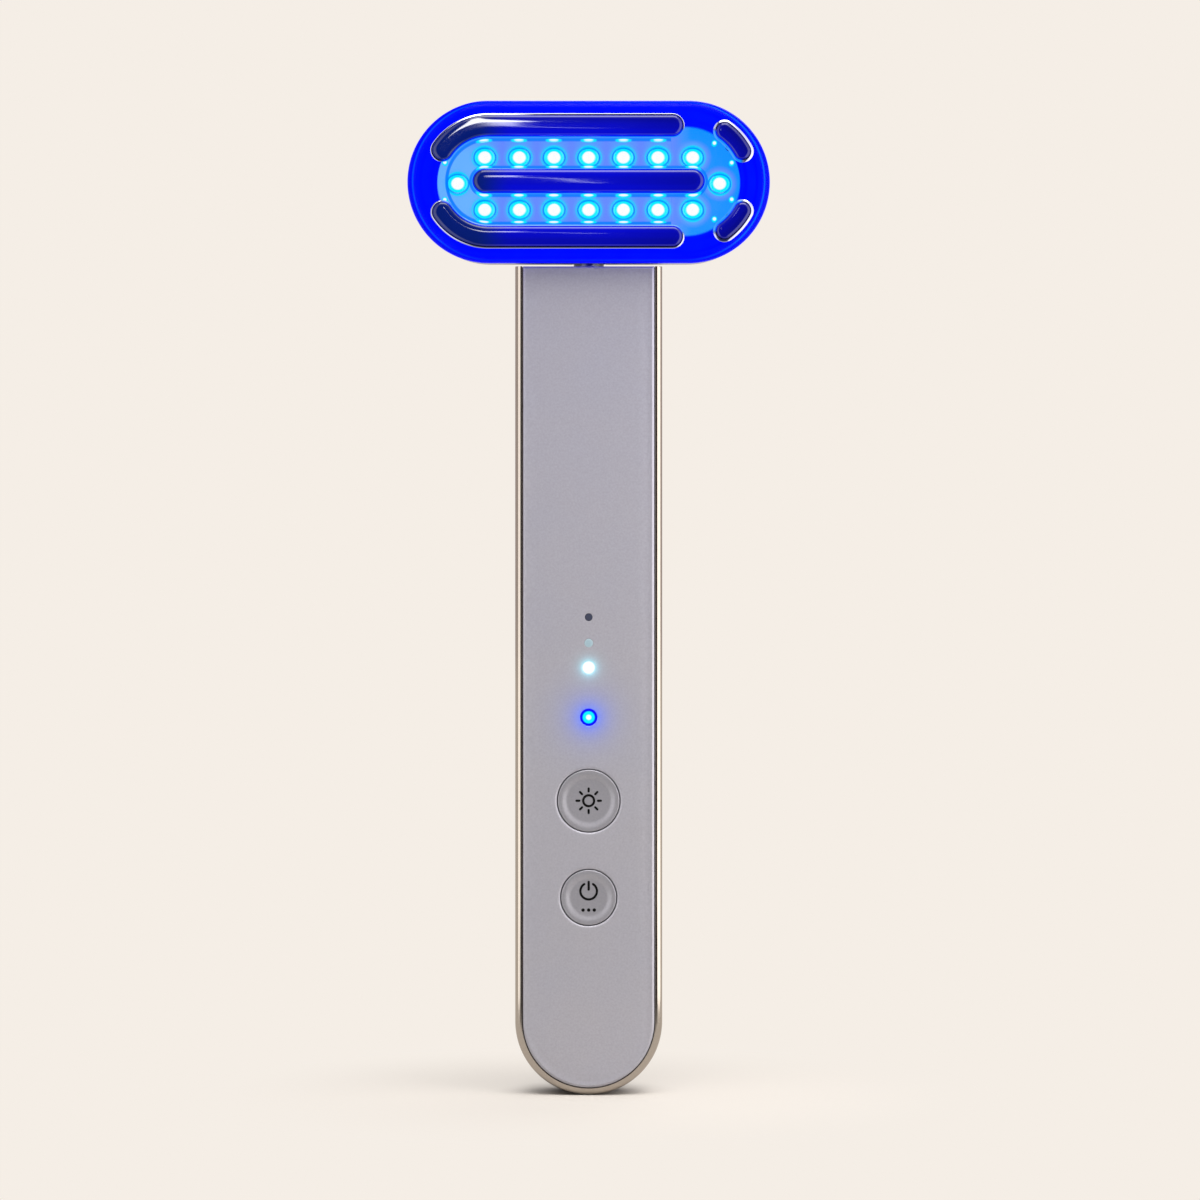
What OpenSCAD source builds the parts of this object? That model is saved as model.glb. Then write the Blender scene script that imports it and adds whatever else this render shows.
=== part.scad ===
// Skincare wand: a slim handle with two buttons and a swivelling, lit head with five electrodes.
// It stands as it is held, Z up along the handle, front towards -Y, origin under its middle.

/* [Overall] */
// Height of the whole wand
overall_h = 150; // [140:1:180]
// Depth of the whole wand, from the electrode crowns to the flat back
overall_d = 16.5; // [16:0.5:20]

/* [Handle] */
// Width of the handle, also twice the radius of its round lower end
handle_w = 22.25; // [21:0.25:28]
// Depth of the handle, from the panel to the flat back
handle_d = 13; // [12.5:0.25:16]
// Width of the metal rim seen from the front
rim_w = 1.25; // [1:0.05:1.6]
// How far the panel stands in front of the rim
panel_proud = 0.4; // [0.1:0.05:0.6]
// Thickness of the front panel
panel_t = 1.4; // [1.2:0.1:2]
// Dark gap between the panel and the rim
panel_gap = 0.1; // [0.05:0.05:0.3]
// Wall of the rear shell
shell_wall = 1.4; // [1.2:0.1:1.8]
// Radius of the rear shell's back edges
back_edge_r = 3.6; // [2.5:0.1:4.5]
// Radius of the rim's front edge
rim_edge_r = 1; // [0.4:0.1:1.1]

/* [Head] */
// Width of the head
head_w = 54.6; // [50:0.2:66]
// Height of the head, also twice the radius of its round ends
head_h = 24.5; // [24:0.5:30]
// Depth of the clear cover
lens_d = 5; // [4.8:0.1:5.6]
// Wall round the clear cover
lens_wall = 1.8; // [1.4:0.1:2]
// Thickness of the clear cover's face
lens_face_t = 1.3; // [1:0.1:1.6]
// Radius of the clear cover's front edge
lens_edge_r = 1.5; // [0.5:0.1:1.8]
// Wall of the head's rear shell
head_wall = 1.4; // [1.2:0.1:1.8]
// Radius of the head's back edge
head_back_r = 3; // [2:0.1:3.4]
// How much the head's rear shell narrows all round towards its back
head_draft = 0.7; // [0:0.05:0.8]
// Thickness of the gasket between cover and shell
gasket_t = 0.35; // [0.2:0.05:0.6]

/* [Electrodes] */
// Height of the electrode crowns above the cover's face
crown_h = 0.9; // [0.6:0.1:1.2]
// Width of the two long electrodes
bar_w = 3.6; // [3:0.1:4]
// Distance of the long electrodes' centre lines from the head's edge
bar_inset = 3.9; // [3.3:0.05:4]
// How far the long electrodes stop before the right round end's centre
bar_short = 2.45; // [1:0.05:6]
// How far the long electrodes wrap round the left end, in degrees past the top
bar_wrap = 56; // [30:1:60]
// How far the centre electrode reaches past the round ends' centres
centre_bar_out = 2.5; // [0:0.1:2.7]
// Width of the centre electrode
centre_bar_w = 3.8; // [3:0.1:4]
// Width of the two small electrodes
small_w = 3.4; // [3:0.1:3.6]
// Distance of the small electrodes' centre lines from the head's edge
small_inset = 3.05; // [2.8:0.05:3.4]
// Angle where the small electrodes start, from the centre line
small_from = 29; // [25:1:35]
// Angle where the small electrodes end, from the centre line
small_to = 54.5; // [45:0.5:58]

/* [Lights] */
// Treatment lights in each of the two rows
row_lights = 7; // [3:1:7]
// How far a row's last lights are past the round ends' centres
row_out = 0.67; // [-4:0.01:1]
// Distance of each row from the head's centre line
light_row = 3.96; // [3.8:0.02:4.2]
// How far the two end lights are past the round ends' centres
end_light_out = 4.75; // [4.5:0.05:5]
// Diameter of the reflector's holes
light_hole_d = 3.5; // [3.2:0.1:3.8]

/* [Buttons] */
// Diameter of the upper button's hole
light_button_d = 9.6; // [8:0.1:11]
// Height of the upper button's centre
light_button_z = 44.5; // [40:0.5:50]
// Diameter of the lower button's hole
mode_button_d = 8.6; // [7:0.1:10]
// Height of the lower button's centre
mode_button_z = 29.9; // [26:0.1:32]
// How far a button travels
button_travel = 0.35; // [0.2:0.05:0.4]
// Gap between a button and its hole
button_gap = 0.15; // [0.1:0.05:0.25]
// Depth of the finger dish in a button
button_dish = 0.25; // [0:0.05:0.4]

/* [Indicators] */
// Heights of the four indicator windows
indicator_z = [72.2, 68.3, 64.6, 57.1]; // [54:0.1:73]
// Diameters of the four indicator windows
indicator_d = [1.15, 1.3, 2, 2.6]; // [1:0.05:3]

/* [Swivel] */
// Diameter of the neck stem
stem_d = 4.6; // [3.8:0.1:5]
// Wall of the hollow neck stem
stem_wall = 1; // [0.9:0.1:1.4]
// Running clearance round the stem, on the radius
stem_clear = 0.05; // [0.02:0.01:0.1]
// Gap between the head and the handle
head_gap = 0.3; // [0.2:0.05:0.6]
// How far the head turns each way, in degrees
swivel_half = 90; // [30:5:100]
// Diameter of the stop pin
stop_pin_d = 1; // [0.8:0.1:1.2]

/* [Inside] */
// Height of the main board's upper edge
board_top = 80.6; // [78:0.1:84]
// Width of the battery cell
battery_w = 15; // [12:0.5:18]
// Thickness of the battery cell
battery_t = 5.6; // [4:0.1:5.8]
// Thickness of the main board
board_t = 1; // [0.8:0.1:1.2]
// Diameter of the wire bundles
lead_d = 1; // [0.6:0.1:1.1]
// Diameter of the vibration motor
motor_d = 4.6; // [4:0.1:5]
// Length of the vibration motor
motor_l = 8; // [6:0.1:9]

/* [Hidden] */
$fn = 64;

// Clearances and small sizes that several pieces share
fit = 0.05;          // between pieces that are assembled and stay put
seat = 0.02;         // between a pin or screw and its hole
screw_room = 0.2;    // how much wider a screw's free hole is than the screw
lift = 1;            // extra length of a cut, so that it breaks through
edge_steps = 5;      // flats in a rounded edge
screw_d = 1.4;
screw_l = 4;
screw_head_d = 2.6;
screw_head_t = 0.7;
head_sink = 0.1;     // how far a chassis screw's head is below the chassis's face
boss_d = 3.6;

// Handle outline and its layers, front to back
back_y = overall_d / 2;
handle_r = handle_w / 2;
head_r = head_h / 2;
head_z = overall_h - head_r;
handle_top = overall_h - head_h - head_gap;
panel_front = back_y - handle_d;
panel_back = panel_front + panel_t;
tape_t = 0.2;
chassis_front = panel_back + tape_t;
chassis_t = 1.2;
chassis_back = chassis_front + chassis_t;
rib_t = 0.5;
rib_w = 0.75;
lip_front = chassis_back + rib_t;
lip_l = 0.7;
seam_y = lip_front + lip_l;
lip_w = 1;
lip_inset = rim_w + 0.1;
lip_root_l = 1.2;
lip_root_back = seam_y + lip_root_l;
rim_front = panel_front + panel_proud;
inner_back = back_y - shell_wall;
panel_inset = rim_w + panel_gap;

// Main board and what sits on it
standoff_l = 1.3;
board_front = chassis_back + standoff_l;
board_back = board_front + board_t;
board_gap = 0.575;           // between the board's edge and the shell's lip
board_inset = lip_inset + lip_w + board_gap;
board_half = handle_r - board_inset;
switch_t = 1.1;
switch_w = 4.6;
plunger_d = 2;
plunger_clear = 0.1;
plunger_l = 1;
plunger_sink = 0.5;          // how much of the plunger is inside the switch
flange_t = 0.4;
flange_over = 0.65;          // how far a button's flange reaches past its hole
flange_room = 0.3;           // round a button's flange
window_flange = 0.5;         // how far a window's flange reaches past the window
window_flange_t = 0.55;

// Swivel, from the head down
neck_hole_d = stem_d + 0.3;
head_front_face = -back_y + crown_h;
lens_back = head_front_face + lens_d;
head_shell_front = lens_back + gasket_t;
neck_wall = 1.1;             // what stays of the head's shell in front of the neck
neck_y = max(back_y - handle_d / 2, head_shell_front + neck_wall + neck_hole_d / 2);
pad_t = 2;
pad_w = 15;
head_floor = head_z - head_r + head_wall;
flange_z = head_floor + pad_t;
neck_flange_t = 1.2;
neck_screw_x = 5.4;
bush_wall = 0.65;
bush_id = stem_d + 2 * stem_clear;
bush_od = bush_id + 2 * bush_wall;
cap_h = 7.6;
cap_floor_t = 0.8;
cap_bottom = handle_top - cap_h;
ring_h = 1.1;
clip_t = 0.6;
clip_play = 0.15;
clip_groove_d = stem_d - 0.8;
stem_bore_d = stem_d - 2 * stem_wall;
clip_od = 7;
stem_tail = 1;
clip_top = cap_bottom - clip_play;
stem_bottom = clip_top - clip_t - stem_tail;
stop_wall = 0.6;             // between the stop pin and the bush
stop_back_wall = 0.25;       // behind the stop pin in the top cap
stop_r = min(bush_od / 2 + stop_wall + stop_pin_d / 2,
    inner_back - fit - stop_back_wall - stop_pin_d / 2 - neck_y);
stop_pin_l = 5;
stop_pin_up = 0.95;
stop_slot_depth = 1.2;
stop_slot_w = stop_pin_d + 0.3;

// Battery and leads
lead_bend_r = 1.2;
lead_joint = stem_bottom - 0.2;
lead_straight = 0.4;         // what a lead runs straight before its first bend
lead_gap = 0.3;              // between the lead's bends and the battery
lead_front_y = board_front - 0.1 - lead_d / 2;
battery_gap = 1.4;           // between the main board and the battery
battery_z = board_top + battery_gap;
battery_top = lead_joint - lead_straight - 2 * lead_bend_r - lead_d / 2 - lead_gap;
battery_l = battery_top - battery_z;
battery_front = board_front + 0.65;
battery_back = battery_front + battery_t;
foam_t = inner_back - battery_back;
connector_w = 6;
connector_h = 3;
connector_top = board_top - 1.1;
battery_lead_d = 0.8;
battery_lead_x = 2;
battery_lead_y = board_back + 1.1;
battery_lead_bend = 0.8;

// Screws and the bosses that they go into
shell_boss_x = board_half - 2;
shell_boss_z = [handle_r + 2.4, board_top - 4.6];
cap_screw_z = handle_top - 3.8;
standoff_d = 3.2;
standoff_z = [(light_button_z + mode_button_z) / 2, indicator_z[0] - 3.2];

// USB-C socket
usb_w = 8.94;
usb_t = 3.2;
usb_wall = 0.3;
usb_l = 7.3;
usb_z = 1.2;
usb_y = board_back + usb_t / 2;
usb_slot_gap = 0.16;

// Head layers, front to back
lens_run = head_w / 2 - head_r;
light_gap = 0.45;            // between the light board and the cover's wall
light_board_r = head_r - lens_wall - light_gap;
light_board_run = lens_run - 0.85;
reflector_r = head_r - 3.05;
reflector_run = lens_run - 1.35;
light_pitch = 2 * (lens_run + row_out) / (row_lights - 1);
end_light_x = lens_run + end_light_out;
reflector_t = 0.8;
light_board_t = 1;
light_board_front = lens_back - 0.25;
light_board_back = light_board_front + light_board_t;
led_w = 2.2;
led_t = 0.8;
led_dome_d = 2.1;
led_dome_h = 0.5;
light_screw_at = [end_light_x - 1.5, light_row + 1.84];
light_boss_d = 3;
light_head_t = 0.5;
head_inner_back = back_y - head_wall;
stud_d = 1.6;
stud_l = 2.2;
contact_d = 1.1;
stud_inset = 0.6;           // studs stand this much nearer the centre line than the bars
crown_step = 0.45;          // how far the crown's upper layer steps in
tip_relief = 0.02;          // a band's round tips are this much narrower than the band
bar_reach = head_r - bar_inset;
bar_end_x = lens_run - bar_short;
small_reach = head_r - small_inset;
small_stud_reach = small_reach - 0.8;
small_mid = (small_from + small_to) / 2;
long_stud_x = [5 - lens_run, lens_run - 7];
centre_stud_x = [4.5 - lens_run, lens_run - 4.5];

// Vibration motor
motor_y = head_inner_back - motor_d / 2 - 1.25;
motor_z = head_z + 0.4;
motor_x = -1.5;             // the can's face on the shaft side
shaft_d = 0.8;
shaft_clear = 0.1;
shaft_out = 6.2;
weight_r = 2.7;
weight_l = 3.4;
weight_gap = 2.1;
cradle_wall = 1;

// Colours
PANEL = "#B0ADB3";
SHELL = "#A9A6AE";
RIM = "#CFC6BC";
ELECTRODE = "#1A2266";
CLEAR = "#3A4BFF";
WHITE = "#E9EDF5";
BOARD = "#1E5B3A";
BLACK = "#26262B";
STEEL = "#A8ABB0";
BRASS = "#C9A45C";
NATURAL = "#D9D6CC";

// Draws a plan in X and Z as a slab between two depths
module slab(y0, y1) {
    translate([0, y1, 0]) rotate([90, 0, 0]) linear_extrude(y1 - y0) children();
}

// A round peg along the depth
module peg(x, z, d, y0, y1) {
    translate([x, y1, z]) rotate([90, 0, 0]) cylinder(h = y1 - y0, d = d);
}

// A half section [radius, depth] whose front and back corners are rounded, narrowing by a draft
function rounded_section(r, y0, y1, e0, e1, draft = 0) = concat(
    [[0, y0]],
    e0 == 0 ? [[r, y0]] : [for (i = [0:edge_steps]) let (a = 90 * i / edge_steps - 90)
        [r - e0 + e0 * cos(a), y0 + e0 + e0 * sin(a)]],
    e1 == 0 ? [[r - draft, y1]] : [for (i = [0:edge_steps]) let (a = 90 * i / edge_steps)
        [r - draft - e1 + e1 * cos(a), y1 - e1 + e1 * sin(a)]],
    [[0, y1]]
);

// The whole section from a half one
function both_sides(s) = concat(s, [for (i = [len(s) - 2:-1:1]) [-s[i][0], s[i][1]]]);

// A handle piece: its section runs up to top and turns round the lower end
module handle_solid(section, top) {
    translate([0, 0, handle_r]) {
        linear_extrude(top - handle_r) polygon(both_sides(section));
        rotate([-90, 0, 0]) rotate_extrude(angle = 180) polygon(section);
    }
}

// The handle's outline, drawn in from its edge
module handle_plan(inset, top) {
    translate([0, handle_r]) circle(handle_r - inset);
    translate([inset - handle_r, handle_r]) square([handle_w - 2 * inset, top - handle_r]);
}

// A head piece: its section runs between the round ends and turns round each
module head_solid(section) {
    translate([0, 0, head_z]) {
        translate([-lens_run, 0, 0]) rotate([90, 0, 90]) linear_extrude(2 * lens_run)
            polygon([for (p = both_sides(section)) [p[1], p[0]]]);
        for (side = [-1, 1])
            translate([side * lens_run, 0, 0]) rotate([-90, 0, 0]) rotate([0, 0, -90 * side])
                rotate_extrude(angle = 180) polygon(section);
    }
}

// An oblong with round ends, about the head's middle
module oblong(run, r) {
    translate([-run, head_z - r]) square([2 * run, 2 * r]);
    for (side = [-1, 1]) translate([side * run, head_z]) circle(r);
}

// A pan head screw along the depth, its head towards the front at y
module screw_in(x, z, y, l) {
    peg(x, z, screw_head_d, y, y + screw_head_t);
    peg(x, z, screw_d, y + screw_head_t - 0.1, y + screw_head_t + l);
}

// A quarter bend of a wire in the depth plane, about the X axis line at [y, z]
module wire_bend(y, z, r, d, from) {
    translate([0, y, z]) rotate([90, 0, 90]) rotate([0, 0, from])
        rotate_extrude(angle = 90) translate([r, 0]) circle(d = d);
}

// The places of the chassis screws, into the shell's bosses and into the top cap
function chassis_screw_places() = concat(
    [for (z = shell_boss_z, side = [-1, 1]) [side * shell_boss_x, z]],
    [for (side = [-1, 1]) [side * shell_boss_x, cap_screw_z]]
);
function standoff_places() = [for (z = standoff_z, side = [-1, 1]) [side * shell_boss_x, z]];
function light_screw_places() =
    [for (sx = [-1, 1], sz = [-1, 1]) [sx * light_screw_at[0], sz * light_screw_at[1]]];

// The treatment lights, from the head's middle
function light_places() = concat(
    [for (i = [0:row_lights - 1], sz = [-1, 1])
        [(i - (row_lights - 1) / 2) * light_pitch, sz * light_row]],
    [[-end_light_x, 0], [end_light_x, 0]]
);

// The electrode studs, from the head's middle
function long_studs(side) = [for (x = long_stud_x) [x, side * (bar_reach - stud_inset)]];
function centre_studs() = [for (x = centre_stud_x) [x, 0]];
function small_studs(side) = [[
    lens_run + small_stud_reach * cos(small_mid), side * small_stud_reach * sin(small_mid)
]];
function all_studs() = concat(
    long_studs(1), long_studs(-1), centre_studs(), small_studs(1), small_studs(-1)
);

// Handle
module usb_plan(w, t) {
    square([w - t, t], center = true);
    for (side = [-1, 1]) translate([side * (w - t) / 2, 0]) circle(d = t);
}

module rear_shell() {
    color(SHELL) difference() {
        union() {
            difference() {
                handle_solid(rounded_section(handle_r, seam_y, back_y, 0, back_edge_r), handle_top);
                handle_solid(rounded_section(handle_r - shell_wall, seam_y - lift, inner_back,
                    0, back_edge_r - shell_wall), handle_top + lift);
            }
            slab(seam_y, lip_root_back) difference() {
                handle_plan(shell_wall / 2, handle_top);
                handle_plan(lip_inset + lip_w, handle_top + lift);
            }
            slab(lip_front, seam_y) difference() {
                handle_plan(lip_inset, handle_top);
                handle_plan(lip_inset + lip_w, handle_top + lift);
            }
            for (z = shell_boss_z, side = [-1, 1])
                peg(side * shell_boss_x, z, boss_d, chassis_back, inner_back + shell_wall / 2);
        }
        for (z = shell_boss_z, side = [-1, 1])
            peg(side * shell_boss_x, z, screw_d + 2 * seat, chassis_back - lift,
                chassis_back + screw_l);
        translate([0, usb_y, -lift]) linear_extrude(lift + 3)
            usb_plan(usb_w + 2 * usb_slot_gap, usb_t + 2 * usb_slot_gap);
    }
}

module bezel_band() {
    color(RIM) {
        difference() {
            handle_solid(rounded_section(handle_r, rim_front, seam_y, rim_edge_r, 0), handle_top);
            slab(rim_front - lift, seam_y + lift) handle_plan(rim_w, handle_top + lift);
        }
        slab(chassis_back, lip_front) difference() {
            handle_plan(rim_w / 2, handle_top);
            handle_plan(rim_w + rib_w, handle_top + lift);
        }
    }
}

module bezel_contact_spring() {
    strip_t = 0.2;
    strip_w = 3;
    reach = handle_r - rim_w - rib_w;
    riser_x = board_half - 0.6;
    foot_l = 1.4;
    tip = chassis_back + 0.05;
    color(BRASS) translate([0, 0, light_button_z + 6]) {
        translate([riser_x - foot_l, board_front - strip_t, 0]) cube([foot_l, strip_t, strip_w]);
        translate([riser_x - strip_t, tip, 0]) cube([strip_t, board_front - tip, strip_w]);
        translate([riser_x - strip_t, tip, 0]) cube([reach - riser_x + strip_t, strip_t, strip_w]);
    }
}

module chassis() {
    color(BLACK) difference() {
        union() {
            slab(chassis_front, chassis_back) handle_plan(rim_w + fit, handle_top - fit);
            for (p = standoff_places()) peg(p[0], p[1], standoff_d, chassis_back, board_front);
        }
        for (b = [[light_button_z, light_button_d], [mode_button_z, mode_button_d]])
            peg(0, b[0], b[1] + 2 * (flange_over + flange_room), chassis_front - lift,
                chassis_back + lift);
        for (i = [0:3]) {
            peg(0, indicator_z[i], indicator_d[i] + 2 * fit, chassis_front - lift,
                chassis_back + lift);
            peg(0, indicator_z[i], indicator_d[i] + 2 * (window_flange + 2 * fit),
                chassis_front - lift, chassis_front + window_flange_t);
        }
        for (p = chassis_screw_places()) {
            peg(p[0], p[1], screw_d + screw_room, chassis_front - lift, chassis_back + lift);
            peg(p[0], p[1], screw_head_d + screw_room, chassis_front - lift,
                chassis_front + screw_head_t + head_sink);
        }
        for (p = standoff_places())
            peg(p[0], p[1], screw_d + 2 * seat, chassis_front + 0.3, board_front + lift);
    }
}

module chassis_screws() {
    color(STEEL) for (p = chassis_screw_places())
        screw_in(p[0], p[1], chassis_front + head_sink, screw_l - chassis_t / 2);
}

module panel_holes(room, y0, y1) {
    peg(0, light_button_z, light_button_d + 2 * room, y0, y1);
    peg(0, mode_button_z, mode_button_d + 2 * room, y0, y1);
    for (i = [0:3]) peg(0, indicator_z[i], indicator_d[i] + 2 * fit + 2 * room, y0, y1);
}

module panel_tape() {
    color(BLACK) difference() {
        slab(panel_back, chassis_front) handle_plan(panel_inset + 0.3, handle_top - 0.5);
        panel_holes(flange_over + flange_room, panel_back - lift, chassis_front + lift);
    }
}

module front_panel() {
    panel_edge_r = 0.5;
    color(PANEL) difference() {
        handle_solid(rounded_section(handle_r - panel_inset, panel_front, panel_back,
            panel_edge_r, 0), handle_top - fit);
        panel_holes(0, panel_front - lift, panel_back + lift);
    }
}

// One indicator window: a light pipe with a flange that sits in the chassis
module indicator_window(i) {
    led_h = 0.6;
    peg(0, indicator_z[i], indicator_d[i], panel_front, board_front - led_h - 0.2);
    peg(0, indicator_z[i], indicator_d[i] + 2 * window_flange, chassis_front,
        chassis_front + window_flange_t);
}

module indicator_window_dark() {
    color("#4A5262") indicator_window(0);
}

module indicator_window_teal() {
    color("#7FA9A6") indicator_window(1);
}

module indicator_window_white() {
    color("#F4FBFF") indicator_window(2);
}

module indicator_window_blue() {
    color("#2A4BFF") indicator_window(3);
}

module indicator_leds() {
    size = [1.6, 0.6, 0.8];
    color(WHITE) for (z = indicator_z)
        translate([-size[0] / 2, board_front - size[1], z - size[2] / 2]) cube(size);
}

module main_board() {
    color(BOARD) difference() {
        slab(board_front, board_back) handle_plan(board_inset, board_top);
        for (z = shell_boss_z, side = [-1, 1])
            slab(board_front - lift, board_back + lift) {
                translate([side * shell_boss_x, z]) circle(d = boss_d + 0.6);
                translate([side * (shell_boss_x + boss_d / 2 + 1.5), z])
                    square([boss_d + 3, boss_d + 0.6], center = true);
            }
        for (p = standoff_places())
            peg(p[0], p[1], screw_d + screw_room, board_front - lift, board_back + lift);
    }
}

module board_screws() {
    color(STEEL) for (p = standoff_places()) mirror_depth(board_back) screw_in(p[0], p[1], 0,
        board_t + standoff_l + 0.3);
}

// Turns a piece that starts at depth 0 so that it starts at y and points to the front
module mirror_depth(y) {
    translate([0, y + screw_head_t, 0]) mirror([0, 1, 0]) children();
}

// A flat chip on the back of the main board
module chip(x, z, w, h, t) {
    translate([x - w / 2, board_back, z - h / 2]) cube([w, t, h]);
}

module board_chips() {
    color(BLACK) {
        chip(0, light_button_z + 1, 5, 5, 0.9);
        chip(0, mode_button_z - 3, 3.5, 3.5, 0.8);
        chip(-4.4, light_button_z + 9, 2.6, 2.2, 1);
        chip(3.8, light_button_z + 10, 4, 4, 1.6);
        for (i = [0:3]) chip(-2.4 + 1.6 * i, light_button_z - 4.5, 0.8, 1.6, 0.5);
        for (i = [0:2]) chip(-1.6 + 1.6 * i, mode_button_z + 3, 0.8, 1.6, 0.5);
    }
}

module tactile_switch(z) {
    color(BLACK) difference() {
        translate([-switch_w / 2, board_front - switch_t, z - switch_w / 2])
            cube([switch_w, switch_t, switch_w]);
        peg(0, z, plunger_d + 2 * plunger_clear, board_front - switch_t - lift,
            board_front - switch_t + plunger_sink + button_travel + 0.1);
    }
}

module light_switch() {
    tactile_switch(light_button_z);
}

module mode_switch() {
    tactile_switch(mode_button_z);
}

module usb_c_shell() {
    back_t = 0.3;
    color(STEEL) translate([0, usb_y, usb_z]) difference() {
        linear_extrude(usb_l) usb_plan(usb_w, usb_t);
        translate([0, 0, -lift]) linear_extrude(usb_l - back_t + lift)
            usb_plan(usb_w - 2 * usb_wall, usb_t - 2 * usb_wall);
    }
}

module usb_c_tongue() {
    tongue = [6.7, 0.7, 5];
    base_l = 1.5;
    back_t = 0.3;
    color(BLACK) translate([0, usb_y, usb_z + usb_l - back_t - base_l]) {
        linear_extrude(base_l) usb_plan(usb_w - 2 * usb_wall - 0.1, usb_t - 2 * usb_wall - 0.1);
        translate([-tongue[0] / 2, -tongue[1] / 2, -tongue[2]]) cube(tongue);
    }
}

module battery_cell() {
    guard_l = 2.5;
    guard_t = 3;
    color("#C9CCD2") {
        translate([-battery_w / 2, battery_back - battery_t, battery_z + guard_l])
            cube([battery_w, battery_t, battery_l - guard_l]);
        translate([-battery_w / 2 + 1, battery_lead_y - 0.6, battery_z])
            cube([battery_w - 2, guard_t, guard_l]);
    }
}

module battery_foam() {
    color("#3B3B3F") translate([-battery_w / 2 + 1.5, battery_back, battery_z + 5])
        cube([battery_w - 3, foam_t, battery_l - 8]);
}

module battery_leads() {
    bend_z = board_top - 2.4;
    color("#B03A32") for (side = [-1, 1]) translate([side * battery_lead_x, 0, 0]) {
        translate([0, battery_lead_y, bend_z + battery_lead_bend])
            cylinder(h = battery_z - bend_z - battery_lead_bend, d = battery_lead_d);
        wire_bend(battery_lead_y - battery_lead_bend, bend_z + battery_lead_bend,
            battery_lead_bend, battery_lead_d, -90);
        peg(0, bend_z, battery_lead_d, board_back, battery_lead_y - battery_lead_bend);
    }
}

module top_cap() {
    half = handle_r - shell_wall - fit;
    color(BLACK) difference() {
        translate([0, 0, cap_bottom]) linear_extrude(cap_h) {
            polygon(both_sides(rounded_section(half, lip_root_back + fit, inner_back - fit, 0,
                back_edge_r - shell_wall)));
            translate([-handle_r + lip_inset + lip_w + fit, chassis_back])
                square([handle_w - 2 * (lip_inset + lip_w + fit), lip_root_back - chassis_back + 1]);
        }
        translate([0, neck_y, cap_bottom + cap_floor_t])
            cylinder(h = cap_h + lift, d = bush_od + 2 * seat);
        translate([0, neck_y, cap_bottom - lift]) cylinder(h = cap_h, d = neck_hole_d);
        translate([0, neck_y + stop_r, handle_top - stop_pin_l + stop_pin_up + head_gap])
            cylinder(h = stop_pin_l, d = stop_pin_d + 2 * seat);
        for (side = [-1, 1])
            peg(side * shell_boss_x, cap_screw_z, screw_d + 2 * seat, chassis_back - lift,
                chassis_back + screw_l);
    }
}

module stem_ring(z, h) {
    translate([0, neck_y, z]) difference() {
        cylinder(h = h, d = bush_od);
        translate([0, 0, -lift]) cylinder(h = h + 2 * lift, d = bush_id);
    }
}

module neck_bush() {
    bush_bottom = cap_bottom + cap_floor_t + ring_h;
    color(NATURAL) stem_ring(bush_bottom, handle_top - bush_bottom);
}

module friction_ring() {
    color("#2E2E33") stem_ring(cap_bottom + cap_floor_t, ring_h);
}

module stop_pin() {
    color(STEEL)
        translate([0, neck_y + stop_r, handle_top - stop_pin_l + stop_pin_up + head_gap])
            cylinder(h = stop_pin_l, d = stop_pin_d);
}

module handle_lead() {
    upper_z = lead_joint - lead_straight;
    lower_z = upper_z - 2 * lead_bend_r;
    color(BLACK) {
        translate([0, neck_y, upper_z]) cylinder(h = lead_joint - upper_z, d = lead_d);
        wire_bend(neck_y - lead_bend_r, upper_z, lead_bend_r, lead_d, -90);
        peg(0, upper_z - lead_bend_r, lead_d, lead_front_y + lead_bend_r, neck_y - lead_bend_r);
        wire_bend(lead_front_y + lead_bend_r, lower_z, lead_bend_r, lead_d, 90);
        translate([0, lead_front_y, connector_top])
            cylinder(h = lower_z - connector_top, d = lead_d);
    }
}

module lead_connector() {
    color(NATURAL) translate([-connector_w / 2, board_front - switch_t, connector_top - connector_h])
        cube([connector_w, switch_t, connector_h]);
}

// Head
module neck_stem() {
    flange_d = stem_d;
    color(STEEL) difference() {
        union() {
            translate([0, neck_y, stem_bottom]) cylinder(h = flange_z - stem_bottom, d = stem_d);
            translate([-pad_w / 2 + 0.5, neck_y - flange_d / 2, flange_z])
                cube([pad_w - 1, flange_d, neck_flange_t]);
        }
        translate([0, neck_y, stem_bottom - lift])
            cylinder(h = overall_h, d = stem_bore_d);
        translate([0, neck_y, clip_top - clip_t - fit]) difference() {
            cylinder(h = clip_t + 2 * fit, d = stem_d + lift);
            cylinder(h = clip_t + 2 * fit, d = clip_groove_d);
        }
        for (side = [-1, 1]) translate([side * neck_screw_x, neck_y, flange_z - lift])
            cylinder(h = neck_flange_t + 2 * lift, d = screw_d + screw_room);
    }
}

module retaining_clip() {
    mouth_w = 2.4;
    color(STEEL) translate([0, neck_y, clip_top - clip_t]) difference() {
        cylinder(h = clip_t, d = clip_od);
        translate([0, 0, -lift]) cylinder(h = clip_t + 2 * lift, d = clip_groove_d + 2 * seat);
        translate([-mouth_w / 2, 0, -lift]) cube([mouth_w, clip_od, clip_t + 2 * lift]);
    }
}

module neck_screws() {
    color(STEEL) for (side = [-1, 1])
        translate([side * neck_screw_x, neck_y, flange_z + neck_flange_t]) {
            cylinder(h = screw_head_t, d = screw_head_d);
            translate([0, 0, -screw_l + 0.6]) cylinder(h = screw_l - 0.5, d = screw_d);
        }
}

// The outside of the head's rear shell, filled
module head_shell_solid() {
    head_solid(rounded_section(head_r, head_shell_front, back_y, 0, head_back_r, head_draft));
}

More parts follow.
